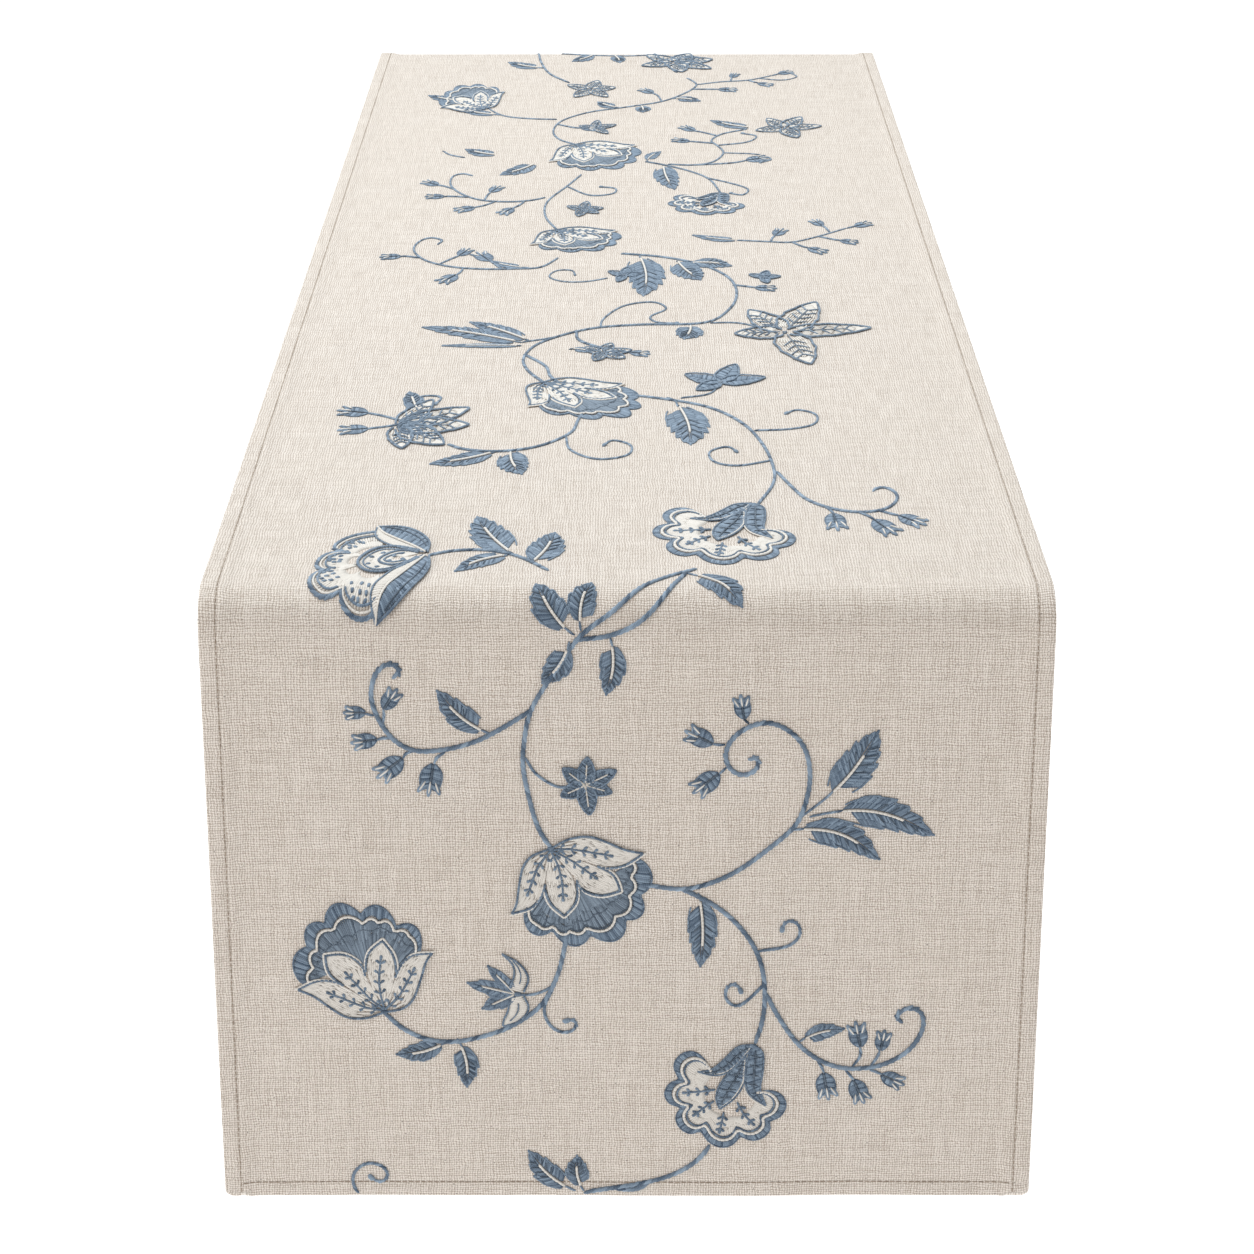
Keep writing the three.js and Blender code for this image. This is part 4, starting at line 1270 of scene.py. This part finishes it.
sprays = {
    "top_near_spray": [
        ("rope", [(-28, 736), (-44, 722), (-62, 713)]),
        ("rope", [(22, 612), (27, 606), (28, 596)]),
        ("rope", [(30, 611), (46, 618), (53, 636)]),
        ("star", (53, 638), [(26, 8, 13), (10, 32, 14), (-20, 14, 13), (-14, -14, 11)]),
        ("star", (-14, 692), [(17, 5, 9), (5, 18, 9), (-11, 10, 9), (-5, -15, 9),
            (13, -10, 9)], "pale_thread"),
    ],
    "top_middle_spray": [
        ("rope", [(50, 751), (66, 751), (80, 742)]),
        ("rope", [(72, 932), (92, 929), (108, 928), (126, 942), (146, 962)]),
        ("bud", [(94, 929), (96, 940), (98, 944)], (104, 962)),
        ("bud", [(108, 928), (114, 918), (118, 914)], (130, 902)),
        ("bud", [(126, 942), (136, 934), (140, 932)], (152, 926)),
        ("bud", [(134, 952), (132, 964), (130, 968)], (124, 984)),
        ("bud", [(146, 962), (152, 966)], (164, 976)),
        ("leaf", (72, 932), (44, 944), 8),
        ("star", (-2, 852), [(12, 3, 7), (3, 18, 7), (-10, 8, 7), (-4, -15, 7)]),
        ("tendril", [(-12, 846), (-26, 838), (-40, 838), (-49, 848), (-45, 862), (-35, 863), (-33, 853)]),
        ("star", (86, 846), [(11, 2, 6), (3, 14, 7), (-9, 6, 6), (2, -13, 7)]),
    ],
    "top_far_spray": [
        ("star", (-30, 1008), [(14, 3, 8), (3, 20, 8), (-11, 8, 7), (-3, -18, 8),
            (11, -10, 7)], "pale_thread"),
        ("leaf", (-95, 1158), (-117, 1174), 13),
        ("leaf", (-66, 1132), (-89, 1102), 15),
        ("rope", [(-117, 1150), (-128, 1158), (-134, 1170)]),
        ("star", (-24, 1238), [(16, 10, 8), (2, 24, 8), (-12, 6, 8), (10, -18, 8)], "pale_thread"),
        ("leaf", (92, 1240), (64, 1262), 12),
        ("bud", [(48, 1128), (74, 1134), (86, 1142)], (104, 1152)),
        ("tendril", [(70, 1164), (94, 1160), (104, 1146), (96, 1136)]),
        ("rope", [(55, 1382), (74, 1392), (96, 1398), (116, 1414)]),
        ("bud", [(82, 1394), (84, 1408)], (88, 1424)),
        ("bud", [(96, 1398), (104, 1388)], (116, 1378)),
        ("bud", [(116, 1414), (122, 1420)], (134, 1430)),
        ("tendril", [(106, 1404), (124, 1398), (136, 1410), (130, 1424)]),
        ("leaf", (-128, 1326), (-154, 1344), 13),
    ],
    "far_bend_spray": [
        ("rope", [(-54, 1494), (-28, 1488), (0, 1486), (20, 1490)]),
        ("star", (40, 1462), [(30, 10, 18), (12, 30, 18), (-24, 26, 17), (-28, -14, 16), (4, -36, 18),
            (28, -24, 16)], "pale_thread"),
        ("leaf", (-28, 1488), (-44, 1466), 13),
        ("leaf", (-10, 1486), (-6, 1462), 12),
        ("bud", [(-73, 1498), (-80, 1508)], (-90, 1520)),
    ],
}

ropeWidths = {"front": 3.3, "far": 2.0, "other": 2.4, "tendril": 1.8, "frontTendril": 2.3, "spray": 1.7,
    "sprayTendril": 1.5}


def stemWidth(name):
    if name.startswith("front"):
        return ropeWidths["front"]
    far = name.startswith(("top_far", "top_middle", "top_small"))
    return ropeWidths["far"] if far else ropeWidths["other"]


replacing = {}  # the CAD node and the slot of each piece
for name, paths in stems.items():
    stretchFor(name)
    piece = name + "_stitching"
    replacing[piece] = (name, "blue_thread")
    for points in paths:
        rope(piece, smooth(squash(points)), stemWidth(name))
for name, drawn in leaves.items():
    stretchFor(name)
    piece = name + "_stitching"
    replacing[piece] = (name, "blue_thread")
    for foot, tip, width, sag, *stalk in drawn:
        leaf(piece, foot, tip, width, sag, 6, stalk=stalk[0] if stalk else 0.04)
for name, (draw, *how) in flowers.items():
    stretchFor(name)
    piece = name + "_stitching"
    replacing[piece] = (name, "deep_blue_thread")
    draw(piece, *how)
for name, buds in budSprays.items():
    stretchFor(name)
    for stalk, tip in buds:
        bud(name + "_stitching", stalk, tip)
for name, paths in tendrils.items():
    stretchFor(name)
    for points in paths:
        width = ropeWidths["frontTendril" if name.startswith("front") else "tendril"]
        tendril(name + "_stitching", points, width)
for name, small in stemLeaves.items():
    stretchFor(name)
    for foot, tip, width in small:
        leaf(name + "_stitching", foot, tip, width, 0.08, 4, stalk=0.15)
stretchFor("front_star_flower")
rope("front_star_flower_stitching", smooth([(-49, 245), (-44, 236), (-34, 229), (-28, 229)]), 2.0)
for name, entries in sprays.items():
    stretchFor(name)
    replacing[name] = (None, "blue_thread")
    for kind, *rest in entries:
        if kind == "star":
            pale = len(rest) > 2
            petalStar(name, rest[0], rest[1], "pale_thread" if pale else "blue_thread", pale)
        elif kind == "rope":
            rope(name, smooth(squash(rest[0])), ropeWidths["spray"])
        elif kind == "tendril":
            tendril(name, rest[0], ropeWidths["sprayTendril"])
        elif kind == "bud":
            bud(name, *rest)
        elif kind == "leaf":
            leaf(name, *rest, 0.06, 4)
pattern["stretch"] = 1.0
print("stage: motifs drawn")


# the hems' sewing lines

hemSewing = {"pitch": 3.2, "stitch": 2.8, "width": 0.5, "fromEnd": 2}


def sewHem(piece, first, last):
    total = math.dist(first, last)
    begin = np.arange(1.0, total - hemSewing["stitch"], hemSewing["pitch"])
    along = np.array([last[0] - first[0], last[1] - first[1]]) / total
    start = np.array(first, float) + along * begin[:, None]
    sew(piece, start, start + along * hemSewing["stitch"], hemSewing["width"], "sewing_thread",
        height=0.45, base=0.14, tone=0.5, toneSpread=0.4)


seamAt = lay["halfWidth"] - lay["stitchInset"]
seamFrom = hemSewing["fromEnd"]
backSeam = clothLength - lay["stitchInset"]
for name, first, last in (
    ("left_hem_stitching", (-seamAt, seamFrom), (-seamAt, clothLength - seamFrom)),
    ("right_hem_stitching", (seamAt, seamFrom), (seamAt, clothLength - seamFrom)),
    ("front_hem_stitching", (-seamAt, lay["stitchInset"]), (seamAt, lay["stitchInset"])),
    ("back_hem_stitching", (-seamAt, backSeam), (seamAt, backSeam)),
):
    piece = name.replace("_stitching", "_sewing")
    replacing[piece] = (name, "sewing_thread")
    sewHem(piece, first, last)

for name in needlework:
    piece = buildNeedlework(name)
    node, slotName = replacing[name]
    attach(piece, "root")
    if node:
        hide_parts(node)


# floor

floorFinish = Finish("paleFloor", {"Roughness": 0.9, "Base Color": (0.93, 0.93, 0.93, 1)})
floorFinish.shader.inputs["Emission Color"].default_value = (1, 1, 1, 1)
floorFinish.shader.inputs["Emission Strength"].default_value = studio["floorGlow"]
bpy.ops.object.select_all(action="DESELECT")
bpy.ops.mesh.primitive_plane_add(size=studio["floorSize"], location=(0, 0, studio["floorHeight"]))
floor = bpy.context.object
floor.name = "studioFloor"
floor.data.materials.append(floorFinish.material)
